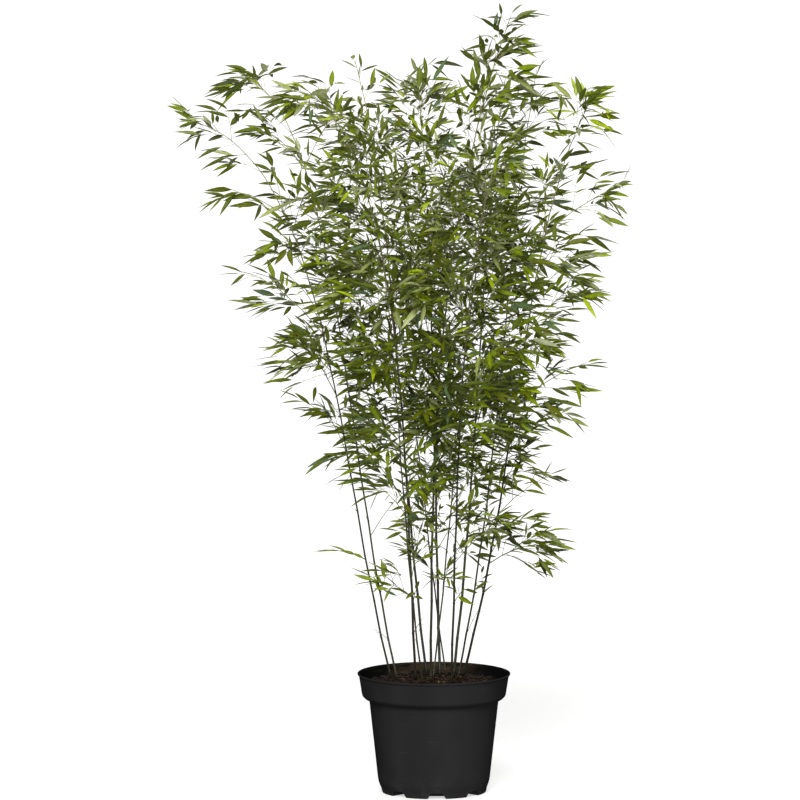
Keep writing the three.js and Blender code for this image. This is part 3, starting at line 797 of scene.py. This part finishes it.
def grow_branch(foliage, order, branch):
    """One branch with its twigs and leaves. Each twig has dice of its own, and doesn't change the others."""
    node, path, kind = branch["node"], branch["path"], branch["kind"]
    is_top, is_fine = kind == "top", kind == "fine"
    if is_fine and kept_share(path[-1], 0) < BARE_BELOW:
        return
    if not is_top:
        foliage.add_twig(path, FINE_RADII if is_fine else BRANCH_RADII, node)
    length = np.linalg.norm(np.diff(path, axis=0), axis=1).sum()
    lushness = LUSH_TWIGS if node == LUSH_SPRAY else TOP_TWIGS if is_top else 1
    count = 0 if node == LONE_SPRAY else max(FEWEST_TWIGS, round(length / TWIG_PITCH * lushness))
    seed = SEED * (order + 1) * BRANCH_STRIDE
    plane = Dice(seed).roll(-PLANE_SPREAD, PLANE_SPREAD)
    for k in range(count):
        dice = Dice(seed + TWIG_STRIDE * (k + 1))
        share = mix(TOP_TWIG_FROM if is_top else TWIG_FROM, TWIG_UP_TO, (k + 0.5) / count)
        root = point_on(path, share)
        look = pick_look(dice, root)
        turn = plane + math.radians(TWIG_TURN) * k + dice.roll(-TURN_SPREAD, TURN_SPREAD)
        angle = math.radians(dice.roll(*TWIG_ANGLE))
        reach = dice.roll(*TWIG_LENGTH) * mix(1, END_TWIG_SIZE, share) * (FINE_TWIG_SIZE if is_fine else 1)
        kept = kept_share(root, LEAST_KEPT[kind])
        for extra in range(min(int(kept + 1 - dice.roll(0, 1)), MOST_TWIGS)):
            direction = direction_beside(direction_on(path, share), angle, turn + EXTRA_TURN * extra)
            grow_twig(foliage, dice, root, direction, reach, node, look)
    dice = Dice(seed + TWIG_STRIDE * (count + 1))
    end_leaves, pitch = LUSH_END_FAN if node == LUSH_SPRAY else END_FAN
    grow_fan(foliage, dice, path, node, pick_look(dice, path[-1]), end_leaves, pitch / length)


def pick_look(dice, point):
    """A leaf look by lot: lime, painted backlight, at the upper right; more grey, partly painted highlight,
    near the top; no lime low down.
    """
    shares = {look: row[0] for look, row in LEAF_LOOKS.items()}
    if point[0] > BACKLIT_FROM and BACKLIT_HEIGHTS[0] < point[2] < BACKLIT_HEIGHTS[1]:
        shares["lime"] += BACKLIT_SHARE
    elif point[2] > GREY_FROM:
        shares["grey"] += GREY_SHARE
    if point[2] < NO_BACKLIGHT_BELOW:
        shares["lime"] = 0
    throw = dice.roll(0, sum(shares.values()))
    for look, share in shares.items():
        throw -= share
        if throw <= 0:
            break
    return LOOKS.index(look)


# Meshes.

def new_object(name, vertices, faces, materials, face_looks=None, crease=None, uv=None):
    mesh = bpy.data.meshes.new(name)
    mesh.from_pydata([tuple(v) for v in vertices], [], faces)
    for entry in materials:
        mesh.materials.append(entry)
    if face_looks is not None:
        mesh.polygons.foreach_set("material_index", np.array(face_looks, np.int32))
    if uv is not None:
        layer = mesh.uv_layers.new(name="UVMap")
        corners = np.zeros(len(mesh.loops), np.int32)
        mesh.loops.foreach_get("vertex_index", corners)
        layer.data.foreach_set("uv", np.asarray(uv, np.float32)[corners].ravel())
    shade_smooth(mesh, crease)
    mesh.update()
    piece = bpy.data.objects.new(name, mesh)
    bpy.context.scene.collection.objects.link(piece)
    return piece


def shade_smooth(mesh, crease):
    mesh.polygons.foreach_set("use_smooth", np.ones(len(mesh.polygons), bool))
    if crease is not None:
        mesh.set_sharp_from_angle(angle=math.radians(crease))


def place(piece, nodes):
    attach(piece, "root")
    if nodes:
        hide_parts(*nodes)


def tube_rings(path, radii, sides):
    """Rings of corners round a row of points, turned so that the tube doesn't twist."""
    tangents = np.gradient(path, axis=0)
    tangents /= np.linalg.norm(tangents, axis=1)[:, None]
    side, _ = frame_of(tangents[0])
    turns = FULL_TURN * np.arange(sides) / sides
    rings = []
    for point, tangent, radius in zip(path, tangents, radii):
        side = unit(side - tangent * (side @ tangent))
        face = np.cross(tangent, side)
        rings.append(point + radius * (np.cos(turns)[:, None] * side + np.sin(turns)[:, None] * face))
    return np.array(rings)


def wall_faces(rows, sides):
    """Faces of four corners between rows of corners that go round, row by row."""
    faces = []
    for row in range(rows - 1):
        for k in range(sides):
            a, b = row * sides + k, row * sides + (k + 1) % sides
            faces.append((a, b, b + sides, a + sides))
    return faces


class MeshMaker:
    """Vertices and faces of many small things, gathered for one piece."""

    def __init__(self):
        self.vertices = []
        self.faces = []
        self.looks = []
        self.count = 0

    def add(self, vertices, faces, look):
        self.vertices.append(vertices)
        self.faces.extend(tuple(index + self.count for index in face) for face in faces)
        self.looks.extend([look] * len(faces))
        self.count += len(vertices)

    def add_tube(self, path, radii, sides, look=0):
        rings = tube_rings(path, radii, sides)
        faces = wall_faces(len(path), sides)
        last = (len(path) - 1) * sides
        faces.append(tuple(range(sides - 1, -1, -1)))
        faces.append(tuple(range(last, last + sides)))
        self.add(rings.reshape(-1, 3), faces, look)

    def build(self, name, materials, crease=None):
        vertices = np.concatenate(self.vertices) * MM
        return new_object(name, vertices, self.faces, materials, self.looks, crease)


def leaf_vertices(leaf):
    """A leaf's rings of left, top, right and bottom corners, and its tip."""
    shares = np.append(LEAF_OUTLINE[:, 0], 1.0)
    widths = np.append(LEAF_OUTLINE[:, 1], 0.0) * leaf["half"]
    twist = (leaf["twist"] * shares)[:, None]
    side = leaf["side"] * np.cos(twist) + leaf["face"] * np.sin(twist)
    face = leaf["face"] * np.cos(twist) - leaf["side"] * np.sin(twist)
    curve = (shares * shares)[:, None]
    spine = leaf["root"] + leaf["along"] * (leaf["length"] * shares)[:, None]
    spine = spine - UP * (leaf["nod"] * leaf["length"]) * curve
    spine = spine + leaf["side"] * (leaf["bow"] * leaf["length"]) * curve
    raised = face * (widths * leaf["fold"])[:, None]
    across = side * widths[:, None]
    thick = face * (LEAF_THICKNESS / 2)
    left, right = spine - across + raised, spine + across + raised
    rings = np.stack([left, spine + thick, right, spine - thick], 1)[:-1].reshape(-1, 3)
    return np.vstack([rings, spine[-1:]])


def leaf_faces():
    """A leaf's faces, and which of them are its underside: the last two of the four round each ring."""
    rings = len(LEAF_OUTLINE)
    last, tip = (rings - 1) * 4, rings * 4
    faces = [
        (ring * 4 + k, ring * 4 + k + 4, ring * 4 + (k + 1) % 4 + 4, ring * 4 + (k + 1) % 4)
        for ring in range(rings - 1) for k in range(4)
    ]
    faces += [(last + k, tip, last + (k + 1) % 4) for k in range(4)]
    undersides = [k > 1 for _ in range(rings) for k in range(4)]
    return faces + [(0, 1, 2, 3)], undersides + [False]


def build_leaves(name, leaves, materials):
    pattern, undersides = leaf_faces()
    per_leaf = len(LEAF_OUTLINE) * 4 + 1
    vertices = np.concatenate([leaf_vertices(leaf) for leaf in leaves]) * MM
    faces, looks = [], []
    for order, leaf in enumerate(leaves):
        base = order * per_leaf
        faces.extend(tuple(index + base for index in face) for face in pattern)
        looks.extend(len(LOOKS) if under else leaf["look"] for under in undersides)
    across = np.append(np.tile(ACROSS_LEAF, len(LEAF_OUTLINE)), 0.5)
    along = np.append(np.repeat(LEAF_OUTLINE[:, 0], 4), 1.0)
    uv = np.tile(np.stack([across, along], 1), (len(leaves), 1))
    return new_object(name, vertices, faces, materials, looks, LEAF_CREASE, uv)


# Canes.

def node_places(index, length):
    """Places of a cane's nodes along its run. They stand closest at its foot and at its tip."""
    dice = Dice(SEED + NODE_STRIDE * index)
    places, place_now = [], dice.roll(*FIRST_NODE)
    while place_now < length - LAST_NODE:
        places.append(place_now)
        middle = math.sin(math.pi * min(place_now / length + NODE_SHIFT, 1)) ** NODE_POWER
        place_now += mix(*NODE_STEP, middle) * dice.roll(*NODE_SPREAD)
    return places


def cane_points(index, stem):
    """A cane's path and radii with the swellings, its nodes, and its plain line with the lengths along it."""
    line = np.array([stem_point(stem, run) for run in np.linspace(0, 1, CANE_POINTS)])
    lengths = np.concatenate([[0], np.cumsum(np.linalg.norm(np.diff(line, axis=0), axis=1))])
    whole = lengths[-1]
    nodes = node_places(index, whole)
    stops = {0.0: FOOT_SWELL, whole: TIP_SWELL}
    for node in nodes:
        for offset, swell in NODE_RING:
            stops[node + offset * mix(1, TIP_NODE_SHARE, node / whole)] = swell
    for step in np.arange(RING_STEP, whole, RING_STEP):
        if min(abs(step - stop) for stop in stops) > RING_ROOM:
            stops[float(step)] = 1.0
    places = np.array(sorted(stops))
    swells = np.array([stops[stop] for stop in sorted(stops)])
    path = np.stack([np.interp(places, lengths, line[:, axis]) for axis in range(3)], 1)
    sway = np.interp(places, nodes, [ZIGZAG * (-1) ** k for k in range(len(nodes))])
    path[:, 0] += sway * np.clip(places / ZIGZAG_FROM, 0, 1)
    radii = mix(stem["radius"], STEM_TIP_RADIUS, places / whole) * swells
    return path, radii, nodes, lengths, line


def build_canes(dice):
    canes = MeshMaker()
    twigs = MeshMaker()
    for index, stem in enumerate(STEMS):
        path, radii, nodes, lengths, line = cane_points(index, stem)
        canes.add_tube(path, radii, CANE_SIDES, index % len(CANE_LOOKS))
        for node in nodes:
            add_bare_twig(twigs, dice, node, lengths, line)
    return canes, twigs


def add_bare_twig(maker, dice, node, lengths, line):
    """A bud or a short bare twig at some of a cane's nodes, below the leaves."""
    point, ahead = (
        np.array([np.interp(node + further, lengths, line[:, axis]) for axis in range(3)])
        for further in (0, NODE_AHEAD)
    )
    turn = dice.roll(0, FULL_TURN)
    throw = dice.roll(0, 1)
    if point[2] < SOIL_LEVEL + BARE_FROM or point[2] > BARE_UP_TO or throw > BARE_UNDER:
        return
    direction = direction_beside(unit(ahead - point), math.radians(dice.roll(*BARE_ANGLE)), turn)
    if throw > BUD_OVER:
        reach = dice.roll(*BUD_LENGTH)
        maker.add_tube(point + direction * BUD_PLACES * reach, BUD_RADII, BARE_SIDES)
        return
    reach = dice.roll(*BARE_LENGTH)
    path = twig_path(point, direction, reach)
    maker.add_tube(path, BARE_RADII, BARE_SIDES)
    for share, further_turn in BARE_FORKS:
        beside = direction_beside(direction, math.radians(FORK_ANGLE), turn + further_turn)
        maker.add_tube(twig_path(point_on(path, share), beside, reach * FORK_SHARE), FORK_RADII, TWIG_SIDES)


# Pot.

def rounded(profile):
    """A profile with its corners rounded, as points of radius and height."""
    points = [profile[0][:2]]
    for before, corner, after in zip(profile, profile[1:], profile[2:]):
        centre = np.array(corner[:2], float)
        back, ahead = np.array(before[:2], float) - centre, np.array(after[:2], float) - centre
        reach = min(corner[2], np.linalg.norm(back) * CORNER_SHARE, np.linalg.norm(ahead) * CORNER_SHARE)
        start, end = centre + unit(back) * reach, centre + unit(ahead) * reach
        for share in np.linspace(0, 1, CORNER_STEPS):
            rest = 1 - share
            points.append(tuple(start * rest ** 2 + centre * 2 * share * rest + end * share ** 2))
    points.append(profile[-1][:2])
    return points


def lathe(name, profile):
    """A closed profile that starts and ends on the axis, turned round it."""
    inner = profile[1:-1]
    vertices = [(x, y, z) for radius, z in inner for x, y in circle(radius, POT_SEGMENTS)]
    first, last = len(vertices), len(vertices) + 1
    vertices += [(0, 0, profile[0][1]), (0, 0, profile[-1][1])]
    top = (len(inner) - 1) * POT_SEGMENTS
    faces = wall_faces(len(inner), POT_SEGMENTS)
    for k in range(POT_SEGMENTS):
        following = (k + 1) % POT_SEGMENTS
        faces.append((first, following, k))
        faces.append((last, top + k, top + following))
    piece = new_object(name, np.array(vertices) * MM, faces, [])
    tidy_normals(piece)
    return piece


def channel_blocks(name, margin):
    """A block for each drain channel, with a margin round the channel's own space."""
    vertices, faces = [], []
    half_top, half_foot = CHANNEL_TOP_WIDTH / 2 + margin, CHANNEL_FOOT_WIDTH / 2 + margin
    top = CHANNEL_HEIGHT + margin
    section = [(-half_foot, -WALL), (half_foot, -WALL), (half_top, top), (-half_top, top)]
    for channel in range(CHANNELS):
        turn = math.radians(CHANNEL_TURN + 360 * channel / CHANNELS)
        out = np.array([math.sin(turn), -math.cos(turn)])
        beside = np.array([math.cos(turn), math.sin(turn)])
        base = len(vertices)
        for reach in (CHANNEL_START - margin, HEEL_RADIUS):
            for across, height in section:
                vertices.append((*(out * reach + beside * across), height))
        for a, b in ((0, 1), (1, 2), (2, 3), (3, 0)):
            faces.append((base + a, base + b, base + b + 4, base + a + 4))
        faces.append((base + 3, base + 2, base + 1, base))
        faces.append((base + 4, base + 5, base + 6, base + 7))
    piece = new_object(name, np.array(vertices) * MM, faces, [])
    tidy_normals(piece)
    return piece


def tidy_normals(piece):
    shape = bmesh.new()
    shape.from_mesh(piece.data)
    bmesh.ops.recalc_face_normals(shape, faces=shape.faces)
    shape.to_mesh(piece.data)
    shape.free()


def join_by(piece, other, operation):
    modifier = piece.modifiers.new("join", "BOOLEAN")
    modifier.operation = operation
    modifier.object = other
    modifier.solver = "MANIFOLD"
    graph = bpy.context.evaluated_depsgraph_get()
    mesh = bpy.data.meshes.new_from_object(piece.evaluated_get(graph))
    piece.modifiers.clear()
    piece.data = mesh
    bpy.data.objects.remove(other)


def build_pot(materials):
    """The pot's shell with its drain channels. Its inner wall above the soil is darker: painted shade inside
    the rim.
    """
    outside = rounded([(0, 0, 0), *POT_OUTSIDE, (PAST_OUTSIDE, POT_HEIGHT, 0)])
    inside = rounded([(PAST_INSIDE, POT_HEIGHT, 0), *POT_INSIDE, (0, WALL, 0)])
    full = lathe("pot_outer", [*outside, (0, POT_HEIGHT)])
    shell = lathe("nursery_pot", [*outside[:-1], *inside[1:]])
    gutters = channel_blocks("gutters", WALL)
    join_by(gutters, full, "INTERSECT")
    join_by(shell, gutters, "UNION")
    join_by(shell, channel_blocks("notches", 0), "DIFFERENCE")
    shell.data.materials.clear()
    for material in materials:
        shell.data.materials.append(material)
    for face in shell.data.polygons:
        outward = face.center.x * face.normal.x + face.center.y * face.normal.y
        face.material_index = int(outward < 0 and face.center.z > INNER_FROM * MM)
    shade_smooth(shell.data, POT_CREASE)
    return shell


# Soil.

def soil_height(x, y):
    edge = EDGE_DROP * max(0.0, (math.hypot(x, y) - EDGE_FROM) / EDGE_WIDTH) ** 2
    height = SOIL_LEVEL - SOIL_SUNK - edge
    for often, cut, rise in SOIL_RELIEF:
        height += noise.noise(Vector((x * often, y * often, cut))) * rise
    return min(height, SOIL_LEVEL + SOIL_HIGHEST)


def build_soil(material):
    """The soil's bed: a middle, rings of its surface, a ring at its foot, and the middle of its foot."""
    vertices, faces = [(0, 0, soil_height(0, 0))], []
    for ring in range(1, SOIL_RINGS + 1):
        for x, y in circle(SOIL_EDGE_RADIUS * ring / SOIL_RINGS, SOIL_SPOKES):
            vertices.append((x, y, soil_height(x, y)))
    foot = len(vertices)
    vertices += [(x, y, SOIL_FOOT) for x, y in circle(SOIL_EDGE_RADIUS * SOIL_FOOT_SHARE, SOIL_SPOKES)]
    centre = len(vertices)
    vertices.append((0, 0, SOIL_FOOT))
    for k in range(SOIL_SPOKES):
        following = (k + 1) % SOIL_SPOKES
        faces.append((0, 1 + k, 1 + following))
        faces.append((centre, foot + following, foot + k))
        for ring in range(SOIL_RINGS):
            a, b = 1 + ring * SOIL_SPOKES + k, 1 + ring * SOIL_SPOKES + following
            faces.append((a, a + SOIL_SPOKES, b + SOIL_SPOKES, b))
    return new_object("soil_bed", np.array(vertices) * MM, faces, [material])


def turned(points, first, second, turn):
    """Points turned from one of their axes towards another, by radians."""
    result = points.copy()
    result[:, first] = points[:, first] * math.cos(turn) - points[:, second] * math.sin(turn)
    result[:, second] = points[:, first] * math.sin(turn) + points[:, second] * math.cos(turn)
    return result


def chip_vertices(dice, centre, size, turn, tilt):
    """One chip of bark: a box with uneven corners, tilted and turned."""
    corners = [
        [sign * side * dice.roll(*spread) for sign, side, spread in zip(signs, size, CHIP_CORNERS)]
        for signs in CHIP_SIGNS
    ]
    return turned(turned(np.array(corners) / 2, 0, 2, -tilt), 0, 1, turn) + centre


def chip_kind(dice):
    """The size and look of one chip. Most are bark, and some are straws or moss."""
    throw = dice.roll(0, 1)
    size = [dice.roll(*side) for side in CHIP_SIZE]
    look = "bark_red"
    if throw > STRAW_OVER:
        size, look = [dice.roll(*STRAW_LENGTH), *STRAW_SECTION], "straw"
    elif throw > BROWN_OVER:
        look = "bark_brown"
    elif throw > MOSS_OVER:
        size, look = [dice.roll(*side) for side in MOSS_SIZE], "moss"
    return size, list(CHIP_LOOKS).index(look)


def build_chips(materials):
    dice = Dice(SEED + CHIP_SEED)
    maker = MeshMaker()
    for _ in range(CHIPS):
        radius = CHIP_SPREAD * math.sqrt(dice.roll(0, 1))
        turn = dice.roll(0, FULL_TURN)
        x, y = radius * math.cos(turn), radius * math.sin(turn)
        size, look = chip_kind(dice)
        if math.hypot(x, y) + size[0] / 2 > CHIP_LIMIT:
            continue
        centre = (x, y, min(soil_height(x, y) + size[2] * CHIP_LIFT, SOIL_LEVEL + CHIP_HIGHEST))
        vertices = chip_vertices(dice, centre, size, dice.roll(0, math.pi), dice.roll(-CHIP_TILT, CHIP_TILT))
        maker.add(vertices, CHIP_FACES, look)
    return maker.build("bark_chips", materials, CHIP_CREASE)


# Materials.

def linear(colour):
    """A colour of 0 to 255 as on a screen, as the shader takes it."""
    values = []
    for share in (value / 255 for value in colour):
        values.append(share / 12.92 if share <= 0.04045 else ((share + 0.055) / 1.055) ** 2.4)
    return (*values, 1.0)


class Surface:
    """A material with its shader, and short calls that add nodes and return their outputs."""

    def __init__(self, name, specular, coat=0.0):
        self.material = bpy.data.materials.new(name)
        self.material.use_nodes = True
        self.tree = self.material.node_tree
        self.shader = self.tree.nodes["Principled BSDF"]
        self.feed(self.shader, {"Specular IOR Level": specular, "Coat Weight": coat})
        self.coordinates = self.tree.nodes.new("ShaderNodeTexCoord").outputs

    def feed(self, node, inputs):
        """Gives each of a node's sockets a value or another node's output."""
        for socket, value in inputs.items():
            if isinstance(value, (int, float, tuple)):
                node.inputs[socket].default_value = value
            else:
                self.tree.links.new(value, node.inputs[socket])

    def node(self, kind, output, inputs, **settings):
        made = self.tree.nodes.new("ShaderNode" + kind)
        for name, value in settings.items():
            setattr(made, name, value)
        self.feed(made, inputs)
        return made.outputs[output]

    def along(self, axis, source="Object"):
        """How far along an axis a place lies."""
        return self.node("SeparateXYZ", axis, {"Vector": self.coordinates[source]})

    def noise(self, stretch, detail, rough=NOISE_ROUGHNESS):
        placed = self.node("Mapping", "Vector", {"Scale": stretch, "Vector": self.coordinates["Object"]})
        inputs = {"Scale": 1, "Detail": detail, "Roughness": rough, "Vector": placed}
        return self.node("TexNoise", "Fac", inputs)

    def span(self, source, low, high, out_low, out_high):
        limits = {"From Min": low, "From Max": high, "To Min": out_low, "To Max": out_high}
        return self.node("MapRange", "Result", {"Value": source, **limits})

    def patches(self, stretch, detail, low, high, most):
        """Patches of noise that go from none to the most."""
        return self.span(self.noise(stretch, detail), low, high, 0, most)

    def ramp(self, source, stops):
        colour = self.node("ValToRGB", "Color", {"Fac": source})
        elements = colour.node.color_ramp.elements
        for k, (share, shade) in enumerate(stops):
            element = elements[k] if k < 2 else elements.new(share)
            element.position = share
            element.color = linear(shade)
        return colour

    def mixed(self, factor, first, second):
        """Two colours mixed. Each is a screen colour of three values, a shader colour or an output."""
        first, second = (linear(c) if isinstance(c, tuple) and len(c) == 3 else c for c in (first, second))
        return self.node("Mix", 2, {0: factor, 6: first, 7: second}, data_type="RGBA")

    def calculate(self, operation, *values):
        return self.node("Math", "Value", dict(enumerate(values)), operation=operation)

    def faded(self, amount, place_at, edges):
        """An amount that fades in between the first two of four places and out between the last two."""
        rising = self.span(place_at, edges[0], edges[1], 0, 1)
        falling = self.span(place_at, edges[2], edges[3], 1, 0)
        return self.calculate("MULTIPLY", self.calculate("MULTIPLY", amount, rising), falling)

    def wall_shade(self):
        """How much painted shade the soil gets at a place: none at the canes' feet, and most along the pot's
        wall.
        """
        level = {0: self.coordinates["Object"], 1: (1, 1, 0)}
        flat = self.node("VectorMath", "Vector", level, operation="MULTIPLY")
        return self.span(self.node("VectorMath", "Value", {0: flat}, operation="LENGTH"), *WALL_SHADE_SPAN)

    def finish(self, colour, roughness, relief, height_mm, strength):
        """The material, once its shader has a colour, a roughness and a relief."""
        bumps = {"Strength": strength, "Distance": height_mm * MM, "Height": relief}
        normal = self.node("Bump", "Normal", bumps)
        self.feed(self.shader, {"Base Color": colour, "Roughness": roughness, "Normal": normal})
        return self.material


def leaf_surface(name, colour, darker, roughness, specular):
    """A leaf: fine veins along it, a pale midrib, and a soft mottle."""
    surface = Surface(name, specular)
    veins = surface.node("TexWave", "Fac", {"Vector": surface.coordinates["UV"], **VEINS})
    body = surface.mixed(surface.patches(*LEAF_MOTTLE), darker, colour)
    veined = surface.mixed(surface.span(veins, 0, 1, 0, VEIN_SHARE), body, darker)
    midrib = surface.calculate("COMPARE", surface.along("X", "UV"), *MIDRIB)
    pale = (*(min(1.0, value * MIDRIB_GAIN + MIDRIB_LIFT) for value in linear(colour)[:3]), 1.0)
    ribbed = surface.mixed(surface.span(midrib, 0, 1, 0, MIDRIB_SHARE), veined, pale)
    return surface.finish(ribbed, roughness, veins, *LEAF_RELIEF)


def leaf_materials():
    made = [leaf_surface("leaf_" + look, *row[1:]) for look, row in LEAF_LOOKS.items()]
    return [*made, leaf_surface("leaf_underside", *UNDERSIDE)]


def cane_surface(name, colour, darker, bloom):
    """A cane's skin: streaks, darker blotches and a waxy bloom. Its lower part darkens with painted shade,
    and its tip is pale.
    """
    surface = Surface(name, *CANE_SHINE)
    streaks = surface.patches(*CANE_STREAKS)
    body = surface.mixed(streaks, darker, colour)
    blotched = surface.mixed(surface.patches(*CANE_BLOTCHES), body, darker)
    waxy = surface.mixed(surface.patches(*CANE_WAX), blotched, bloom)
    height = surface.along("Z")
    foot_shaded = surface.mixed(surface.span(height, *FOOT_SHADE_SPAN), waxy, CANE_FOOT_SHADE)
    young = surface.mixed(surface.span(height, *YOUNG_SPAN), foot_shaded, YOUNG_CANE)
    return surface.finish(young, surface.span(streaks, 0, 1, *CANE_ROUGHNESS), streaks, *CANE_RELIEF)


def pot_surface(name, colour, paler, band_share):
    """Black moulded plastic: sink marks, fine grain, scuffs, dust near its foot, and paler brown patches in a
    band across the middle of x.
    """
    surface = Surface(name, 0.0)
    sink = surface.patches(*POT_SINK)
    body = surface.mixed(sink, colour, paler)
    # Paler brown patches, only in a band across the middle of x.
    band_patches = surface.faded(surface.patches(*POT_BAND_PATCHES, band_share), surface.along("X"), BAND_EDGES)
    band_patched = surface.mixed(band_patches, body, BAND_PATCH_COLOUR)
    scuffed = surface.mixed(surface.patches(*POT_SCUFFS), band_patched, SCUFF)
    low = surface.span(surface.along("Z"), *DUST_SPAN)
    dusty = surface.mixed(surface.calculate("MULTIPLY", low, surface.patches(*POT_DUST)), scuffed, DUST)
    roughness = surface.span(sink, 0, 1, *POT_ROUGHNESS)
    return surface.finish(dusty, roughness, surface.noise(*POT_GRAIN), *POT_RELIEF)


def soil_surface():
    """Potting soil: dark crumbs with reddish bark, a few mossy patches, and painted shade towards the pot's
    wall.
    """
    surface = Surface("bark_soil", SOIL_SHINE)
    crumbs = surface.noise(*SOIL_CRUMBS)
    mossy = surface.mixed(surface.patches(*MOSS_PATCHES), surface.ramp(crumbs, SOIL_STOPS), SOIL_MOSS)
    wall_shaded = surface.mixed(surface.wall_shade(), mossy, SOIL_WALL_SHADE)
    return surface.finish(wall_shaded, SOIL_ROUGHNESS, crumbs, *SOIL_BUMPS)


def chip_surface(name, colour, darker):
    """Bark, straw or moss, with fibres along it, and painted shade towards the pot's wall."""
    surface = Surface(name, CHIP_SHINE)
    fibres = surface.noise(*CHIP_FIBRES)
    body = surface.mixed(surface.span(fibres, *FIBRE_SPAN), darker, colour)
    wall_shaded = surface.mixed(surface.wall_shade(), body, CHIP_WALL_SHADE)
    return surface.finish(wall_shaded, CHIP_ROUGHNESS, fibres, *CHIP_RELIEF)


def floor_surface():
    """A pale table lit from below, as for a catalogue: it shows only faint shadows."""
    surface = Surface("pale_floor", 0.0)
    colour = surface.mixed(surface.patches(*FLOOR_PATCHES), *FLOOR_COLOURS)
    glow = {"Emission Color": WHITE, "Emission Strength": TABLE_GLOW}
    surface.feed(surface.shader, {"Base Color": colour, "Roughness": FLOOR_ROUGHNESS, **glow})
    return surface.material


# Stage.

def add_floor():
    corners = [(x * FLOOR_REACH, y * FLOOR_REACH, 0) for x, y in ((-1, -1), (1, -1), (1, 1), (-1, 1))]
    floor = new_object("studio_floor", np.array(corners, float) * MM, [(0, 1, 2, 3)], [floor_surface()])
    floor.visible_diffuse = False
    floor.visible_glossy = False


def add_lights():
    world = bpy.data.worlds.new("studio")
    world.use_nodes = True
    background = world.node_tree.nodes["Background"]
    background.inputs["Color"].default_value = WHITE
    background.inputs["Strength"].default_value = WORLD_STRENGTH
    bpy.context.scene.world = world
    for name, (strength, spread, place_from) in SUNS.items():
        light = bpy.data.lights.new(name, "SUN")
        light.energy = strength
        light.angle = math.radians(spread)
        lamp = bpy.data.objects.new(name, light)
        lamp.rotation_euler = (-Vector(place_from)).to_track_quat("-Z", "Y").to_euler()
        bpy.context.scene.collection.objects.link(lamp)


def add_camera():
    camera = bpy.data.cameras.new("camera")
    camera.sensor_width = SENSOR_WIDTH
    view_width = FRAME_PIXELS * MM_PER_PIXEL
    camera.lens = SENSOR_WIDTH * CAMERA_DISTANCE / view_width
    camera.clip_end = CAMERA_END * MM
    tilt = math.radians(CAMERA_ELEVATION)
    middle = FRAME_PIXELS / 2
    below = (BASE_PIXEL - middle) * MM_PER_PIXEL
    aim_height = below / (math.cos(tilt) - below * math.sin(tilt) / CAMERA_DISTANCE)
    aim = Vector(((middle - AXIS_PIXEL) * MM_PER_PIXEL, 0, aim_height))
    back = Vector((0, -math.cos(tilt), math.sin(tilt)))
    holder = bpy.data.objects.new("camera", camera)
    holder.location = (aim + back * CAMERA_DISTANCE) * MM
    holder.rotation_euler = (-back).to_track_quat("-Z", "Y").to_euler()
    bpy.context.scene.collection.objects.link(holder)
    bpy.context.scene.camera = holder


# The plant and its pot.

def region_of(branch_node):
    low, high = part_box(branch_node)
    if branch_node.startswith("spray_top"):
        return "top"
    if branch_node.startswith("spray_side"):
        return "left" if low.x + high.x < 0 else "right"
    return "outlying"


def build_plant():
    branches = all_branches()
    foliage = Foliage()
    for order, branch in enumerate(branches):
        grow_branch(foliage, order, branch)
    regions = {node: region_of(node) for node in {branch["node"] for branch in branches}}
    leaf_looks = leaf_materials()
    canes = [cane_surface(name, *row) for name, row in CANE_LOOKS.items()]
    twig_look = cane_surface("twig_skin", *TWIG_LOOK)
    for region in ("top", "left", "right", "outlying"):
        nodes = sorted(node for node, place_in in regions.items() if place_in == region)
        leaves = [leaf for leaf in foliage.leaves if regions[leaf["node"]] == region]
        place(build_leaves("leaves_" + region, leaves, leaf_looks), nodes)
        maker = MeshMaker()
        for twig in foliage.twigs:
            if regions[twig["node"]] == region:
                maker.add_tube(twig["path"], np.linspace(*twig["radii"], len(twig["path"])), TWIG_SIDES)
        place(maker.build("twigs_" + region, [twig_look]), nodes)
    cane_maker, bare_twigs = build_canes(Dice(SEED))
    place(cane_maker.build("canes", canes), [f"stem_{k + 1:02d}" for k in range(len(STEMS))])
    place(bare_twigs.build("bare_twigs", [twig_look]), [])


def build_pot_and_soil():
    outer = pot_surface("black_plastic", *POT_OUTER)
    # The inner wall's darker material is painted shade inside the rim.
    inner = pot_surface("painted_shade_plastic", *POT_INNER_PAINTED_SHADE)
    place(build_pot([outer, inner]), ["pot"])
    place(build_soil(soil_surface()), ["soil"])
    chip_looks = [chip_surface(name, *row) for name, row in CHIP_LOOKS.items()]
    place(build_chips(chip_looks), [])


bpy.context.scene.view_settings.view_transform = "Standard"
add_floor()
add_lights()
add_camera()
build_pot_and_soil()
build_plant()
